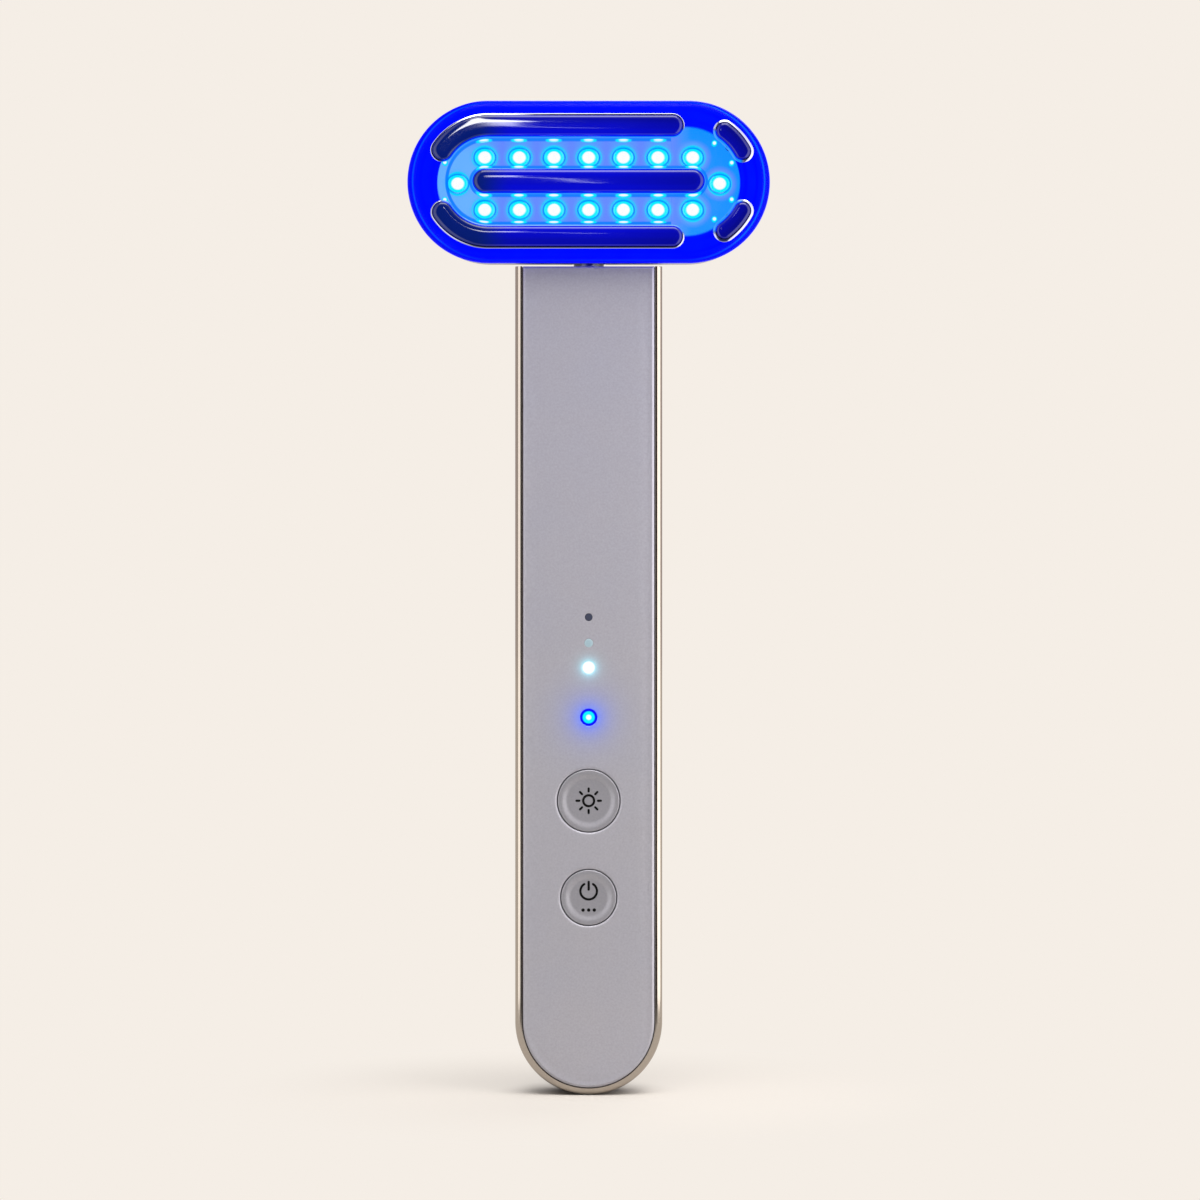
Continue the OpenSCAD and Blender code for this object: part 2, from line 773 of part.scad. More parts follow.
module head_rear_shell() {
    pad_front = head_shell_front + 0.4;
    pad_back = neck_y + stop_r + stop_slot_w;
    slot_in = stop_r - stop_slot_w / 2;
    slot_turn = 2 * (swivel_half + 9);
    color(SHELL) difference() {
        union() {
            difference() {
                head_shell_solid();
                head_solid(rounded_section(head_r - head_wall, head_shell_front - lift,
                    head_inner_back, 0, head_back_r - head_wall, head_draft));
            }
            intersection() {
                head_shell_solid();
                translate([-pad_w / 2, pad_front, head_floor - head_wall / 2])
                    cube([pad_w, pad_back - pad_front, pad_t + head_wall / 2]);
            }
            for (p = light_screw_places())
                peg(p[0], head_z + p[1], light_boss_d, light_board_back,
                    head_inner_back + head_wall / 2);
        }
        translate([0, neck_y, head_z - head_r - lift]) {
            cylinder(h = flange_z - head_z + head_r + 2 * lift, d = neck_hole_d);
            rotate([0, 0, 90 - slot_turn / 2]) rotate_extrude(angle = slot_turn)
                translate([slot_in, 0]) square([stop_slot_w, lift + stop_slot_depth]);
        }
        for (side = [-1, 1])
            translate([side * neck_screw_x, neck_y, flange_z - screw_l + 1.6])
                cylinder(h = screw_l, d = screw_d + 2 * seat);
        for (p = light_screw_places())
            peg(p[0], head_z + p[1], screw_d + 2 * seat, light_board_back - lift,
                light_board_back + screw_l);
    }
}

module head_lens() {
    color(CLEAR) difference() {
        head_solid(rounded_section(head_r, head_front_face, lens_back, lens_edge_r, 0));
        slab(head_front_face + lens_face_t, lens_back + lift) oblong(lens_run, head_r - lens_wall);
        for (p = all_studs())
            peg(p[0], head_z + p[1], stud_d + 2 * fit, head_front_face - lift,
                head_front_face + lens_face_t + lift);
    }
}

module head_gasket() {
    gasket_inset = 0.25;
    color(BLACK) slab(lens_back, head_shell_front) difference() {
        oblong(lens_run, head_r - gasket_inset);
        oblong(lens_run, head_r - head_wall);
    }
}

module light_board() {
    color(WHITE) difference() {
        slab(light_board_front, light_board_back) oblong(light_board_run, light_board_r);
        for (p = light_screw_places())
            peg(p[0], head_z + p[1], screw_d + screw_room, light_board_front - lift,
                light_board_back + lift);
    }
}

module light_board_screws() {
    color(STEEL) for (p = light_screw_places()) {
        peg(p[0], head_z + p[1], screw_head_d, light_board_front - light_head_t,
            light_board_front);
        peg(p[0], head_z + p[1], screw_d, light_board_front - 0.1, light_board_front + screw_l);
    }
}

module treatment_leds() {
    color(WHITE) for (p = light_places()) translate([p[0], light_board_front, head_z + p[1]]) {
        translate([-led_w / 2, -led_t, -led_w / 2]) cube([led_w, led_t, led_w]);
        translate([0, -led_t, 0]) rotate([90, 0, 0])
            cylinder(h = led_dome_h, d1 = led_dome_d, d2 = led_dome_d - 2 * led_dome_h);
    }
}

module reflector_plate() {
    front = light_board_front - reflector_t;
    color(WHITE) difference() {
        slab(front, light_board_front) oblong(reflector_run, reflector_r);
        for (p = light_places())
            peg(p[0], head_z + p[1], light_hole_d, front - lift, light_board_front + lift);
        for (p = light_screw_places())
            peg(p[0], head_z + p[1], screw_head_d + screw_room,
                light_board_front - light_head_t - fit,
                light_board_front + lift);
        for (p = all_studs())
            peg(p[0], head_z + p[1], contact_d + 0.3, front - lift, light_board_front + lift);
    }
}

// An arc of an electrode between two angles about a round end, with round tips
module band_arc(x, reach, w, from, to, y0, y1) {
    translate([x, 0, head_z]) {
        rotate([90, 0, 0]) translate([0, 0, -y1]) rotate([0, 0, from])
            rotate_extrude(angle = to - from) translate([reach - w / 2, 0]) square([w, y1 - y0]);
        for (a = [from, to]) peg(reach * cos(a), reach * sin(a), w - tip_relief, y0, y1);
    }
}

// One layer of a long electrode
module long_layer(w, y0, y1) {
    band_arc(-lens_run, bar_reach, w, 90, 90 + bar_wrap, y0, y1);
    translate([-lens_run, y0, head_z + bar_reach - w / 2])
        cube([lens_run + bar_end_x, y1 - y0, w]);
    peg(bar_end_x, head_z + bar_reach, w, y0, y1);
}

// The studs under an electrode
module studs(places) {
    for (p = places)
        peg(p[0], head_z + p[1], stud_d, head_front_face - 0.2, head_front_face + stud_l);
}

crown_y = -back_y;
shoulder_y = head_front_face - crown_h / 2;

module electrode_long() {
    long_layer(bar_w - 2 * crown_step, crown_y, shoulder_y);
    long_layer(bar_w, shoulder_y, head_front_face);
    studs(long_studs(1));
}

module electrode_upper() {
    color(ELECTRODE) electrode_long();
}

module electrode_lower() {
    color(ELECTRODE) translate([0, 0, 2 * head_z]) mirror([0, 0, 1]) electrode_long();
}

module centre_layer(w, y0, y1) {
    run = lens_run + centre_bar_out - centre_bar_w / 2;
    translate([-run, y0, head_z - w / 2]) cube([2 * run, y1 - y0, w]);
    for (side = [-1, 1]) peg(side * run, head_z, w, y0, y1);
}

module electrode_centre() {
    color(ELECTRODE) {
        centre_layer(centre_bar_w - 2 * crown_step, crown_y, shoulder_y);
        centre_layer(centre_bar_w, shoulder_y, head_front_face);
        studs(centre_studs());
    }
}

module electrode_small() {
    band_arc(lens_run, small_reach, small_w - 2 * crown_step, small_from, small_to,
        crown_y, shoulder_y);
    band_arc(lens_run, small_reach, small_w, small_from, small_to, shoulder_y, head_front_face);
    studs(small_studs(1));
}

module electrode_small_upper() {
    color(ELECTRODE) electrode_small();
}

module electrode_small_lower() {
    color(ELECTRODE) translate([0, 0, 2 * head_z]) mirror([0, 0, 1]) electrode_small();
}

module electrode_contacts() {
    color(BRASS) for (p = all_studs())
        peg(p[0], head_z + p[1], contact_d, head_front_face + stud_l, light_board_front);
}

module motor_can() {
    color(STEEL) translate([motor_x - motor_l, motor_y, motor_z]) rotate([0, 90, 0]) difference() {
        cylinder(h = motor_l, d = motor_d);
        translate([0, 0, motor_l / 2]) cylinder(h = motor_l, d = shaft_d + 2 * shaft_clear);
    }
}

module motor_cradle() {
    cradle_l = motor_l - 1.5;
    half = motor_d / 2 + cradle_wall;
    color(BLACK) difference() {
        translate([motor_x - motor_l + 0.75, motor_y - 0.6, motor_z - half])
            cube([cradle_l, head_inner_back - motor_y + 0.6, 2 * half]);
        translate([motor_x - motor_l - lift, motor_y, motor_z]) rotate([0, 90, 0])
            cylinder(h = motor_l + 2 * lift, d = motor_d + 2 * seat);
    }
}

module head_lead() {
    bend_r = 1.5;
    bend_z = flange_z + neck_flange_t + 0.9;
    start = lead_joint + 0.1;
    color(BLACK) {
        translate([0, neck_y, start]) cylinder(h = bend_z - start, d = lead_d);
        wire_bend(neck_y - bend_r, bend_z, bend_r, lead_d, 0);
        peg(0, bend_z + bend_r, lead_d, light_board_back, neck_y - bend_r);
    }
}

// Motor rotor
module motor_shaft() {
    shaft_l = motor_l / 2 - 0.3 + shaft_out;
    color(STEEL) translate([motor_x + shaft_out - shaft_l, motor_y, motor_z]) rotate([0, 90, 0])
        cylinder(h = shaft_l, d = shaft_d);
}

module motor_weight() {
    hub_d = 1.8;
    color(BRASS) translate([motor_x + weight_gap, motor_y, motor_z]) rotate([0, 90, 0]) difference() {
        union() {
            rotate([0, 0, -90]) rotate_extrude(angle = 180) square([weight_r, weight_l]);
            cylinder(h = weight_l, d = hub_d);
        }
        translate([0, 0, -lift]) cylinder(h = weight_l + 2 * lift, d = shaft_d + 2 * seat);
    }
}

// Buttons
plunger_front = board_front - switch_t + plunger_sink - plunger_l;

// A dished cap with a flange behind the panel and a stem that meets the switch's plunger
module button_cap(z, hole_d) {
    r = hole_d / 2 - button_gap;
    flange_y = panel_back + 0.05;
    stem_r = 1.4;
    chamfer = 0.3;
    color(PANEL) translate([0, 0, z]) rotate([-90, 0, 0]) rotate_extrude() polygon([
        [0, panel_front + button_dish],
        [r * 0.45, panel_front + button_dish * 0.8],
        [r - chamfer - 0.3, panel_front + button_dish * 0.2],
        [r - chamfer, panel_front],
        [r, panel_front + chamfer],
        [r, flange_y],
        [r + flange_over, flange_y],
        [r + flange_over, flange_y + flange_t],
        [stem_r, flange_y + flange_t],
        [stem_r, plunger_front],
        [0, plunger_front],
    ]);
}

module light_button_cap() {
    button_cap(light_button_z, light_button_d);
}

module mode_button_cap() {
    button_cap(mode_button_z, mode_button_d);
}

module switch_plunger(z) {
    color(NATURAL) peg(0, z, plunger_d, plunger_front, plunger_front + plunger_l);
}

module light_switch_plunger() {
    switch_plunger(light_button_z);
}

module mode_switch_plunger() {
    switch_plunger(mode_button_z);
}

rear_shell();
bezel_band();
bezel_contact_spring();
chassis();
chassis_screws();
panel_tape();
front_panel();
indicator_window_dark();
indicator_window_teal();
indicator_window_white();
indicator_window_blue();
indicator_leds();
main_board();
board_screws();
board_chips();
light_switch();
mode_switch();
usb_c_shell();
usb_c_tongue();
battery_cell();
battery_foam();
battery_leads();
top_cap();
neck_bush();
friction_ring();
stop_pin();
handle_lead();
lead_connector();
neck_stem();
retaining_clip();
neck_screws();
head_rear_shell();
head_lens();
head_gasket();
light_board();
light_board_screws();
treatment_leds();
reflector_plate();
electrode_upper();
electrode_lower();
electrode_centre();
electrode_small_upper();
electrode_small_lower();
electrode_contacts();
motor_can();
motor_cradle();
head_lead();
motor_shaft();
motor_weight();
light_button_cap();
light_switch_plunger();
mode_button_cap();
mode_switch_plunger();
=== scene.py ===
# %% [markdown]
# # A skincare wand, piece by piece
# The wand is a slim handle of anodised aluminium and ABS that carries an oblong head. Sixteen
# lights shine through a clear cover, and five polished electrodes stand on it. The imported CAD
# model is the fixed frame. Each piece that shows is made again here from formulas, with finer
# curves and a real finish, in the place that the CAD gives it.

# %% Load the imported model
import math
import bmesh
import bpy
import numpy as np
from mathutils import Matrix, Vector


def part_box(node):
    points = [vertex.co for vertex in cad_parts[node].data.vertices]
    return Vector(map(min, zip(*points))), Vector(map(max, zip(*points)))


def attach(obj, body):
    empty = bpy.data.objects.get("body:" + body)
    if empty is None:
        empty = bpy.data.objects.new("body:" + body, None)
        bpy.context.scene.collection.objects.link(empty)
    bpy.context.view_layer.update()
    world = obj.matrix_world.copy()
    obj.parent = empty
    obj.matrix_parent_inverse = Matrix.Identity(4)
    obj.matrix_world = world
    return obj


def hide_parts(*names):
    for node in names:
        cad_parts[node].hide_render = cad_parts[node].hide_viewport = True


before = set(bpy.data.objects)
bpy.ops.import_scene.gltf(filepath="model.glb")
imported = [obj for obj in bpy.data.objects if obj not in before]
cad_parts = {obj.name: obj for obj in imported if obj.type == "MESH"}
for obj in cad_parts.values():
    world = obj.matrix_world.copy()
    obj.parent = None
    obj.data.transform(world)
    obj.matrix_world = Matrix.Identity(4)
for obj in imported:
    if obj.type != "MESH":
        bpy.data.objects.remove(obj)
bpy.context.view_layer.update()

# %% [markdown]
# ## Sizes
# The frame is X to the right, front towards -Y and Z up. All sizes below are in millimetres, as
# on a drawing, and one factor takes them to metres when a mesh is made. Buttons and windows are
# given by their height and the radius of their hole.

# %% Sizes of the handle and the head
MM = 0.001
HANDLE_R = 11.125
HANDLE_TOP = 125.2
SEAM_Y = -0.75
BACK_Y = 8.25
PANEL_Y = -4.75
HEAD_Z = 137.75
HEAD_R = 12.25
HEAD_RUN = 15.05
LENS_Y = -7.35
LENS_BACK = -2.35
CROWN_Y = -8.25
NECK_Y = 1.75
WALL = 1.4
SOCKET_RUN = 2.87
SOCKET_Y = 1.95
PANEL_REACH = 9.9
PANEL_TOP = 125.15
LIGHT_PITCH = 5.24
LIGHT_ROW = 3.96
ROW_END = 3 * LIGHT_PITCH
END_LIGHT = 19.8
BUTTONS = {"light": (44.5, 4.8), "mode": (29.9, 4.3)}
WINDOWS = {"dark": (72.2, 0.575), "teal": (68.3, 0.65), "white": (64.6, 1.0), "blue": (57.1, 1.3)}
print(f"handle {2 * HANDLE_R} mm wide, head {2 * (HEAD_RUN + HEAD_R)} by {2 * HEAD_R} mm")

# %% [markdown]
# ## Surfaces from two lists of numbers
# Nearly every piece of the wand is a profile carried along an outline. The outline is a walk
# round the piece seen from the front: points, each with the direction that points out of the
# piece there. The profile says how far out and how deep each ring lies. Two short arrays give
# the whole surface, so a fillet is changed in one place and is even all the way round.


# %% Arcs, profiles and skins
def arc(centre, radius, start, stop, steps=24, hollow=False):
    """Points on an arc, with the way out of the piece at each.

    A point is centre + radius * (cos a, sin a), with a going evenly from start to stop in
    degrees. The way out is (cos a, sin a) on a bulging bend and its opposite on a hollow one.
    """
    a = np.radians(np.linspace(start, stop, steps + 1))
    ray = np.stack([np.cos(a), np.sin(a)], 1)
    return np.hstack([np.array(centre) + radius * ray, -ray if hollow else ray])


def polar(radius, angle):
    """The point at this radius and angle in degrees: radius * (cos a, sin a)."""
    a = math.radians(angle)
    return radius * np.array([math.cos(a), math.sin(a)])


def profile(*parts):
    """Joins profile points and arcs into one list of (how far out, how deep)."""
    return np.vstack([np.atleast_2d(np.asarray(part, float))[:, :2] for part in parts])


def skin(outline, section, loop=True, ring=False, caps=(True, True)):
    """A surface over outline and section: point + out * section[0], at depth section[1].

    With loop the outline closes on itself, and with ring the section does. Caps close the
    first and last ring of an open section, and an open outline is closed at both its ends.
    """
    n, m = len(outline), len(section)
    flat = outline[:, None, :2] + section[None, :, :1] * outline[:, None, 2:]
    depth = np.broadcast_to(section[None, :, 1], (n, m))
    points = np.stack([flat[..., 0], depth, flat[..., 1]], 2).reshape(-1, 3)
    at = np.arange(n * m).reshape(n, m)
    grid = np.vstack([at, at[:1]]) if loop else at
    grid = np.hstack([grid, grid[:, :1]]) if ring else grid
    quads = np.stack([grid[:-1, :-1], grid[1:, :-1], grid[1:, 1:], grid[:-1, 1:]], 2)
    faces = quads.reshape(-1, 4).tolist()
    if not ring:
        faces += [at[:, end].tolist() for end, closed in zip((0, -1), caps) if closed]
    if not loop and ring:
        faces += [at[0].tolist(), at[-1].tolist()]
    if not loop and not ring:
        faces.append(at[0].tolist() + at[-1][::-1].tolist())
    return points, faces


def turned(x, z, section, steps=96):
    """A section (radius, depth) spun about the depth axis through x and z, closed at both ends."""
    return skin(arc((x, z), 0, 0, 360 - 360 / steps, steps - 1), section)


def joined(*shapes):
    """Several shapes as one: points stacked, and each shape's faces counted on from the last."""
    starts = np.cumsum([0] + [len(points) for points, _ in shapes])
    faces = [[i + start for i in face] for start, (_, part) in zip(starts, shapes) for face in part]
    return np.vstack([points for points, _ in shapes]), faces


# %% [markdown]
# ## From numbers to objects
# A shape becomes a mesh with its doubles merged and its faces turned outwards. Holes are cut
# with cutters that flare at the mouth, which leaves the small round lip that deburring leaves
# on metal. Faces that meet at less than a set angle shade as one curve, and the weighted normals
# keep the flat faces flat right up to their fillets.


# %% Make, cut and finish
def make(name, shape, values=None):
    """A new object from (points in mm, faces), with its extra point values, closed and outward."""
    points, faces = shape
    mesh = bpy.data.meshes.new(name)
    mesh.from_pydata(points * MM, [], faces)
    for key, numbers in (values or {}).items():
        layer = mesh.attributes.new(key, "FLOAT", "POINT")
        layer.data.foreach_set("value", np.asarray(numbers, np.float32).ravel())
    work = bmesh.new()
    work.from_mesh(mesh)
    bmesh.ops.remove_doubles(work, verts=work.verts, dist=1e-6)
    bmesh.ops.dissolve_degenerate(work, edges=work.edges, dist=1e-7)
    bmesh.ops.recalc_face_normals(work, faces=work.faces)
    work.to_mesh(mesh)
    work.free()
    piece = bpy.data.objects.new(name, mesh)
    bpy.context.scene.collection.objects.link(piece)
    return piece


def cut(piece, shape):
    """Takes a shape away from a piece and keeps the result as its mesh."""
    cutter = make("cutter", shape)
    step = piece.modifiers.new("cut", "BOOLEAN")
    step.object = cutter
    step.operation = "DIFFERENCE"
    step.solver = "EXACT"
    graph = bpy.context.evaluated_depsgraph_get()
    mesh = bpy.data.meshes.new_from_object(piece.evaluated_get(graph))
    piece.modifiers.remove(step)
    piece.data = mesh
    mesh.name = piece.name
    bpy.data.objects.remove(cutter)


def finish(piece, coat, body, slot, *nodes, sharp=32):
    """Shades a piece, gives it its coat and its place in the frame, and says how it compares."""
    mesh = piece.data
    mesh.shade_smooth()
    mesh.set_sharp_from_angle(angle=math.radians(sharp))
    even = piece.modifiers.new("even shading", "WEIGHTED_NORMAL")
    even.keep_sharp = True
    mesh.materials.clear()
    mesh.materials.append(coat)
    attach(piece, body)
    if nodes:
        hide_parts(*nodes)
        corners = np.array([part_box(node) for node in nodes])
        low, high = corners[:, 0].min(0), corners[:, 1].max(0)
        points = np.empty(len(mesh.vertices) * 3)
        mesh.vertices.foreach_get("co", points)
        points = points.reshape(-1, 3)
        off = np.maximum(low - points.min(0), points.max(0) - high).max() / MM
        print(f"{piece.name}: {len(mesh.polygons)} faces, furthest past the CAD {off:+.3f} mm")
    return piece


# %% [markdown]
# ## Materials
# Colours are written as sRGB hex, as an eye or a paint card gives them, and one function turns
# them to the linear numbers that the renderer needs. One small function adds any node. Each
# finish has one Principled shader: what is the same all over is set on the shader, and only
# what varies comes through nodes. A Mix node set to colour has its factor at input 0 and its
# two colours at 6 and 7, and a Map Range node takes its value at 0, the range from 1 to 2 and
# the result from 3 to 4, which are 0 and 1 unless they are set.


# %% Colour and nodes
SMOOTH = {"interpolation_type": "SMOOTHSTEP"}
COLOUR = {"out": 2, "data_type": "RGBA"}


def paint(code):
    """sRGB hex to linear: c / 12.92 where dark, else ((c + 0.055) / 1.055) to the power 2.4."""
    c = np.array([int(code[i:i + 2], 16) for i in (1, 3, 5)]) / 255
    return (*np.where(c <= 0.04045, c / 12.92, ((c + 0.055) / 1.055) ** 2.4), 1.0)


def add(tree, kind, inputs=None, out=0, **settings):
    """Adds one node, sets its options, sets or links its inputs, and gives one of its outputs.

    An input is a number, a vector, a hex colour or the output of another node.
    """
    node = tree.nodes.new("ShaderNode" + kind)
    for key, value in settings.items():
        setattr(node, key, value)
    for key, value in (inputs or {}).items():
        if isinstance(value, bpy.types.NodeSocket):
            tree.links.new(value, node.inputs[key])
        else:
            node.inputs[key].default_value = paint(value) if isinstance(value, str) else value
    return node.outputs[out]


def position(tree):
    """Where a point of the surface lies in the frame: the whole vector, its X and its Z."""
    where = add(tree, "TexCoord", out="Object")
    x = add(tree, "SeparateXYZ", {0: where}, out="X")
    return where, x, x.node.outputs["Z"]


def layered(tree, shade, *layers):
    """Lays shades over a first one in turn, as coats of paint: each is (how much of it, shade)."""
    for amount, over in layers:
        shade = add(tree, "Mix", {0: amount, 6: shade, 7: over}, **COLOUR)
    return shade


print("mid grey #808080 is", round(float(paint("#808080")[0]), 3), "in linear light")


# %% One shader a material, and a fine grain
def material(name, colour, metallic, roughness, **more):
    """A material with one Principled shader, set to these numbers. Returns it and its tree."""
    made = bpy.data.materials.new(name)
    made.use_nodes = True
    shader = made.node_tree.nodes["Principled BSDF"]
    shader.inputs["Base Color"].default_value = paint(colour)
    shader.inputs["Metallic"].default_value = metallic
    shader.inputs["Roughness"].default_value = roughness
    for key, value in more.items():
        shader.inputs[key.replace("_", " ")].default_value = value
    return made, made.node_tree


def drive(tree, socket, value):
    """Links a node's output to a socket of the tree's Principled shader."""
    tree.links.new(value, tree.nodes["Principled BSDF"].inputs[socket])


def grained(name, metallic, size, height, shades, rough, **more):
    """A finish with a fine grain: noise of a size in mm moves height in mm, colour and roughness.

    The colour goes from the first shade to the second and the roughness between the two
    numbers, both with the same noise that lifts the surface, as on a real moulded grain.
    """
    made, tree = material(name, shades[0], metallic, rough[0], **more)
    where = add(tree, "TexCoord", out="Object")
    noise = add(tree, "TexNoise", {"Vector": where, "Scale": 1 / (size * MM), "Detail": 2.0})
    drive(tree, "Base Color", add(tree, "Mix", {0: noise, 6: shades[0], 7: shades[1]}, **COLOUR))
    drive(tree, "Roughness", add(tree, "MapRange", {0: noise, 3: rough[0], 4: rough[1]}))
    drive(tree, "Normal", add(tree, "Bump", {"Height": noise, "Distance": height * MM}))
    print(f"{name}: grain {size} mm, roughness {rough[0]} to {rough[1]}")
    return made


# %% [markdown]
# ## Front panel: anodised aluminium
# The panel is a plate that was stamped, blasted with fine glass beads and anodised. The eye gets
# a soft lilac grey with an even sparkle too fine to count, and slow clouds where the dye took a
# little more. Real bead marks are about 0.05 mm across, too fine for this picture, so they are
# drawn 0.3 mm apart. Round the two lit windows a halo of light is painted on the metal, and near
# the head the metal is painted a little bluer and darker, as by the head's blue light and shade.

# %% Anodised aluminium
BEAD = 0.3
CLOUD = 9
ALUMINIUM, tree = material("anodised aluminium", "#ADACB1", 0.35, 0.42, Emission_Strength=1.0)
where, _, z = position(tree)
beads = add(tree, "TexNoise", {"Vector": where, "Scale": 1 / (BEAD * MM), "Detail": 3.0})
clouds = add(tree, "TexNoise", {"Vector": where, "Scale": 1 / (CLOUD * MM), "Detail": 2.0})
fine = add(tree, "Mix", {0: beads, 6: "#9B9AA1", 7: "#B2B1B8"}, **COLOUR)
tint = add(tree, "Mix", {0: clouds, 6: "#FFFDFC", 7: "#F9FAFF"}, **COLOUR)
metal = add(tree, "Mix", {0: 1.0, 6: fine, 7: tint}, **COLOUR, blend_type="MULTIPLY")
# Painted blue light and shade from the head: the metal grows a little bluer and darker upwards.
upper = add(tree, "MapRange", {0: z, 1: 50 * MM, 2: 120 * MM})
metal = add(tree, "Mix", {0: upper, 6: metal, 7: "#F5F6FF"}, **COLOUR, blend_type="MULTIPLY")
drive(tree, "Roughness", add(tree, "MapRange", {0: beads, 3: 0.36, 4: 0.5}))
drive(tree, "Normal", add(tree, "Bump", {"Height": beads, "Distance": 0.004 * MM}))
print("anodised aluminium:", len(tree.nodes), "nodes")

# %% [markdown]
# A halo is painted light. It fades with the distance from its window's edge as exp(-distance /
# reach). It tints the metal's colour and adds painted light of its own. The white window's halo is
# faint and short, the blue one's wide.


# %% Two halos
def from_window(tree, name):
    """Distance from the middle of a window's face."""
    middle = (0, PANEL_Y * MM, WINDOWS[name][0] * MM)
    where = add(tree, "TexCoord", out="Object")
    return add(tree, "VectorMath", {0: where, 1: middle}, out="Value", operation="DISTANCE")


glow = None
# Window, radius of its edge and reach of the halo in mm, its painted tint on the metal and its painted light.
for name, edge, reach, painted_halo_tint, halo in (("white", 1.05, 0.55, "#FFFFFF", "#4AA7B4"),
                                       ("blue", 1.3, 1.6, "#BCE0FF", "#0000C3")):
    away = from_window(tree, name)
    near = add(tree, "MapRange", {0: away, 1: edge * MM, 2: (edge + reach) * MM, 4: -1.0},
               clamp=False)
    near = add(tree, "Math", {0: near}, operation="EXPONENT", use_clamp=True)
    metal = add(tree, "Mix", {0: near, 6: metal, 7: painted_halo_tint}, **COLOUR, blend_type="MULTIPLY")
    lit = add(tree, "Mix", {0: near, 6: "#000000", 7: halo}, **COLOUR)
    glow = lit if glow is None else add(tree, "Mix", {0: 1.0, 6: glow, 7: lit}, **COLOUR, blend_type="ADD")
drive(tree, "Base Color", metal)
drive(tree, "Emission Color", glow)
print("with the halos:", len(tree.nodes), "nodes")

# %% [markdown]
# The plate is flat with a shallow step near its edge and a small outer fillet, so light draws
# one bright line round it and a soft darker band inside. The outline is the round lower end and
# two mitred corners at the top. The six holes are cut with flared cutters.


# %% Holes and outline of the panel
LIP_DEPTH = 0.4
HAIR = 0.003
CUT_BACK = -2.0


def hole(z, r, lip):
    """A cutter: radius r, opening at the front face by a shallow quarter ellipse, lip wide.

    The ellipse ends a hair in front of the face, so that no ring of the cutter lies in it.
    """
    deep = LIP_DEPTH * lip
    mouth = arc((r + lip, 0), lip, 180, 270, 8)[:, :2] * [1, LIP_DEPTH] + [0, PANEL_Y + deep - HAIR]
    return turned(0, z, profile([r, CUT_BACK], mouth, [r + lip + 0.01, PANEL_Y - 1]), 128)


def around_panel(reach, top):
    """The panel's outline: half a circle below, and two square corners with mitred ways out."""
    corners = [[reach, top, 1, 1], [-reach, top, -1, 1]]
    return np.vstack([arc((0, HANDLE_R), reach, 180, 360, 128), corners])


print("the panel's outline has", len(around_panel(PANEL_REACH, PANEL_TOP)), "points")

# %% Front panel
panel_section = [0, PANEL_Y] + profile(
    [[-2.5, 0], [-2.1, 0.01], [-1.7, 0.03], [-1.35, 0.055], [-1.1, 0.065], [-0.95, 0.066], [-0.82, 0.06],
     [-0.55, 0.026], [-0.42, 0.012], [-0.34, 0.01], [-0.3, 0.02], [-0.06, 0.15], [0, 0.24], [0, 1.3],
     [-0.1, 1.4]])
panel = make("front_panel_plate", skin(around_panel(PANEL_REACH, PANEL_TOP), panel_section))
cut(panel, joined(*[hole(z, r, 0.5) for z, r in BUTTONS.values()],
                  *[hole(z, r + 0.02, 0.12) for z, r in WINDOWS.values()]))
finish(panel, ALUMINIUM, "handle", "satin_panel", "front_panel")

# %% [markdown]
# ## Rim: polished nickel
# A band of plated zinc runs round the panel and is also the hand's contact. It was polished and
# plated with a warm dark nickel, so the eye sees the room in it: one bright line from each soft
# light, a dark line from the unlit room in front, and a brown grey at the sides. The section is
# a closed ring carried round the U of the handle, with the small rib that clips it in.

# %% Polished nickel and the rim
NICKEL = grained("polished nickel", 1.0, 0.6, 0.0006, ("#AAA197", "#B2A99F"), (0.07, 0.11))


def around_handle(reach):
    """The handle's U: down the right side, round the lower end and up the left side."""
    sides = np.array([[reach, HANDLE_TOP, 1, 0], [-reach, HANDLE_TOP, -1, 0]])
    return np.vstack([sides[:1], arc((0, HANDLE_R), reach, 0, -180, 160), sides[1:]])


rim_section = profile(
    [[-0.06, SEAM_Y], [0, SEAM_Y - 0.06]], arc((-1, -3.35), 1, 0, -90, 16),
    arc((-1.03, -4.27), 0.08, 270, 180, 5),
    [[-1.11, -3.3], [-1.25, -3.2], [-1.25, -1.95], [-2, -1.95], [-2, -1.45], [-1.25, -1.45], [-1.25, SEAM_Y]])
rim = make("bezel_rim", skin(around_handle(HANDLE_R), rim_section, loop=False, ring=True))
finish(rim, NICKEL, "handle", "polished_rim", "bezel_band")

# %% [markdown]
# ## Rear shell: painted ABS
# The back of the handle is a moulded ABS tray with a satin paint in the panel's lilac grey. Paint
# over a moulding gives a very fine orange peel of about 0.8 mm, low sheen and no sparkle. It is
# one closed skin: outside, round the seam's lip and back along the inside wall.

# %% Satin paint
SATIN = grained("satin paint on ABS", 0.0, 0.8, 0.004, ("#A5A2AA", "#ADAAB2"), (0.4, 0.5))


# %% Rear shell
def tray(edge_r, rim_y, draft=0.0):
    """A shell's section: back face, outer fillet, side, lip at the seam, and the same inside.

    With a draft, the sides lean in by that much on their way from the seam to the fillet.
    """
    side = BACK_Y - edge_r
    lean = math.degrees(math.atan2(draft, side - rim_y))
    return profile(arc((-edge_r - draft, side), edge_r, 90, lean, 18),
                   [[0, rim_y + 0.08], [-0.08, rim_y], [0.08 - WALL, rim_y], [-WALL, rim_y + 0.08]],
                   arc((-edge_r - draft, side), edge_r - WALL, lean, 90, 12))


def stadium(run, radius, middle=SOCKET_Y, steps=24):
    """A slot's outline: half circles run to the right and left of its middle, walked once round."""
    return np.vstack([arc((run, middle), radius, -90, 90, steps),
                      arc((-run, middle), radius, 90, 270, steps)])


def upright(shape):
    """Turns a shape drawn on X and Z so that its depth runs along Z instead."""
    return shape[0][:, [0, 2, 1]], shape[1]


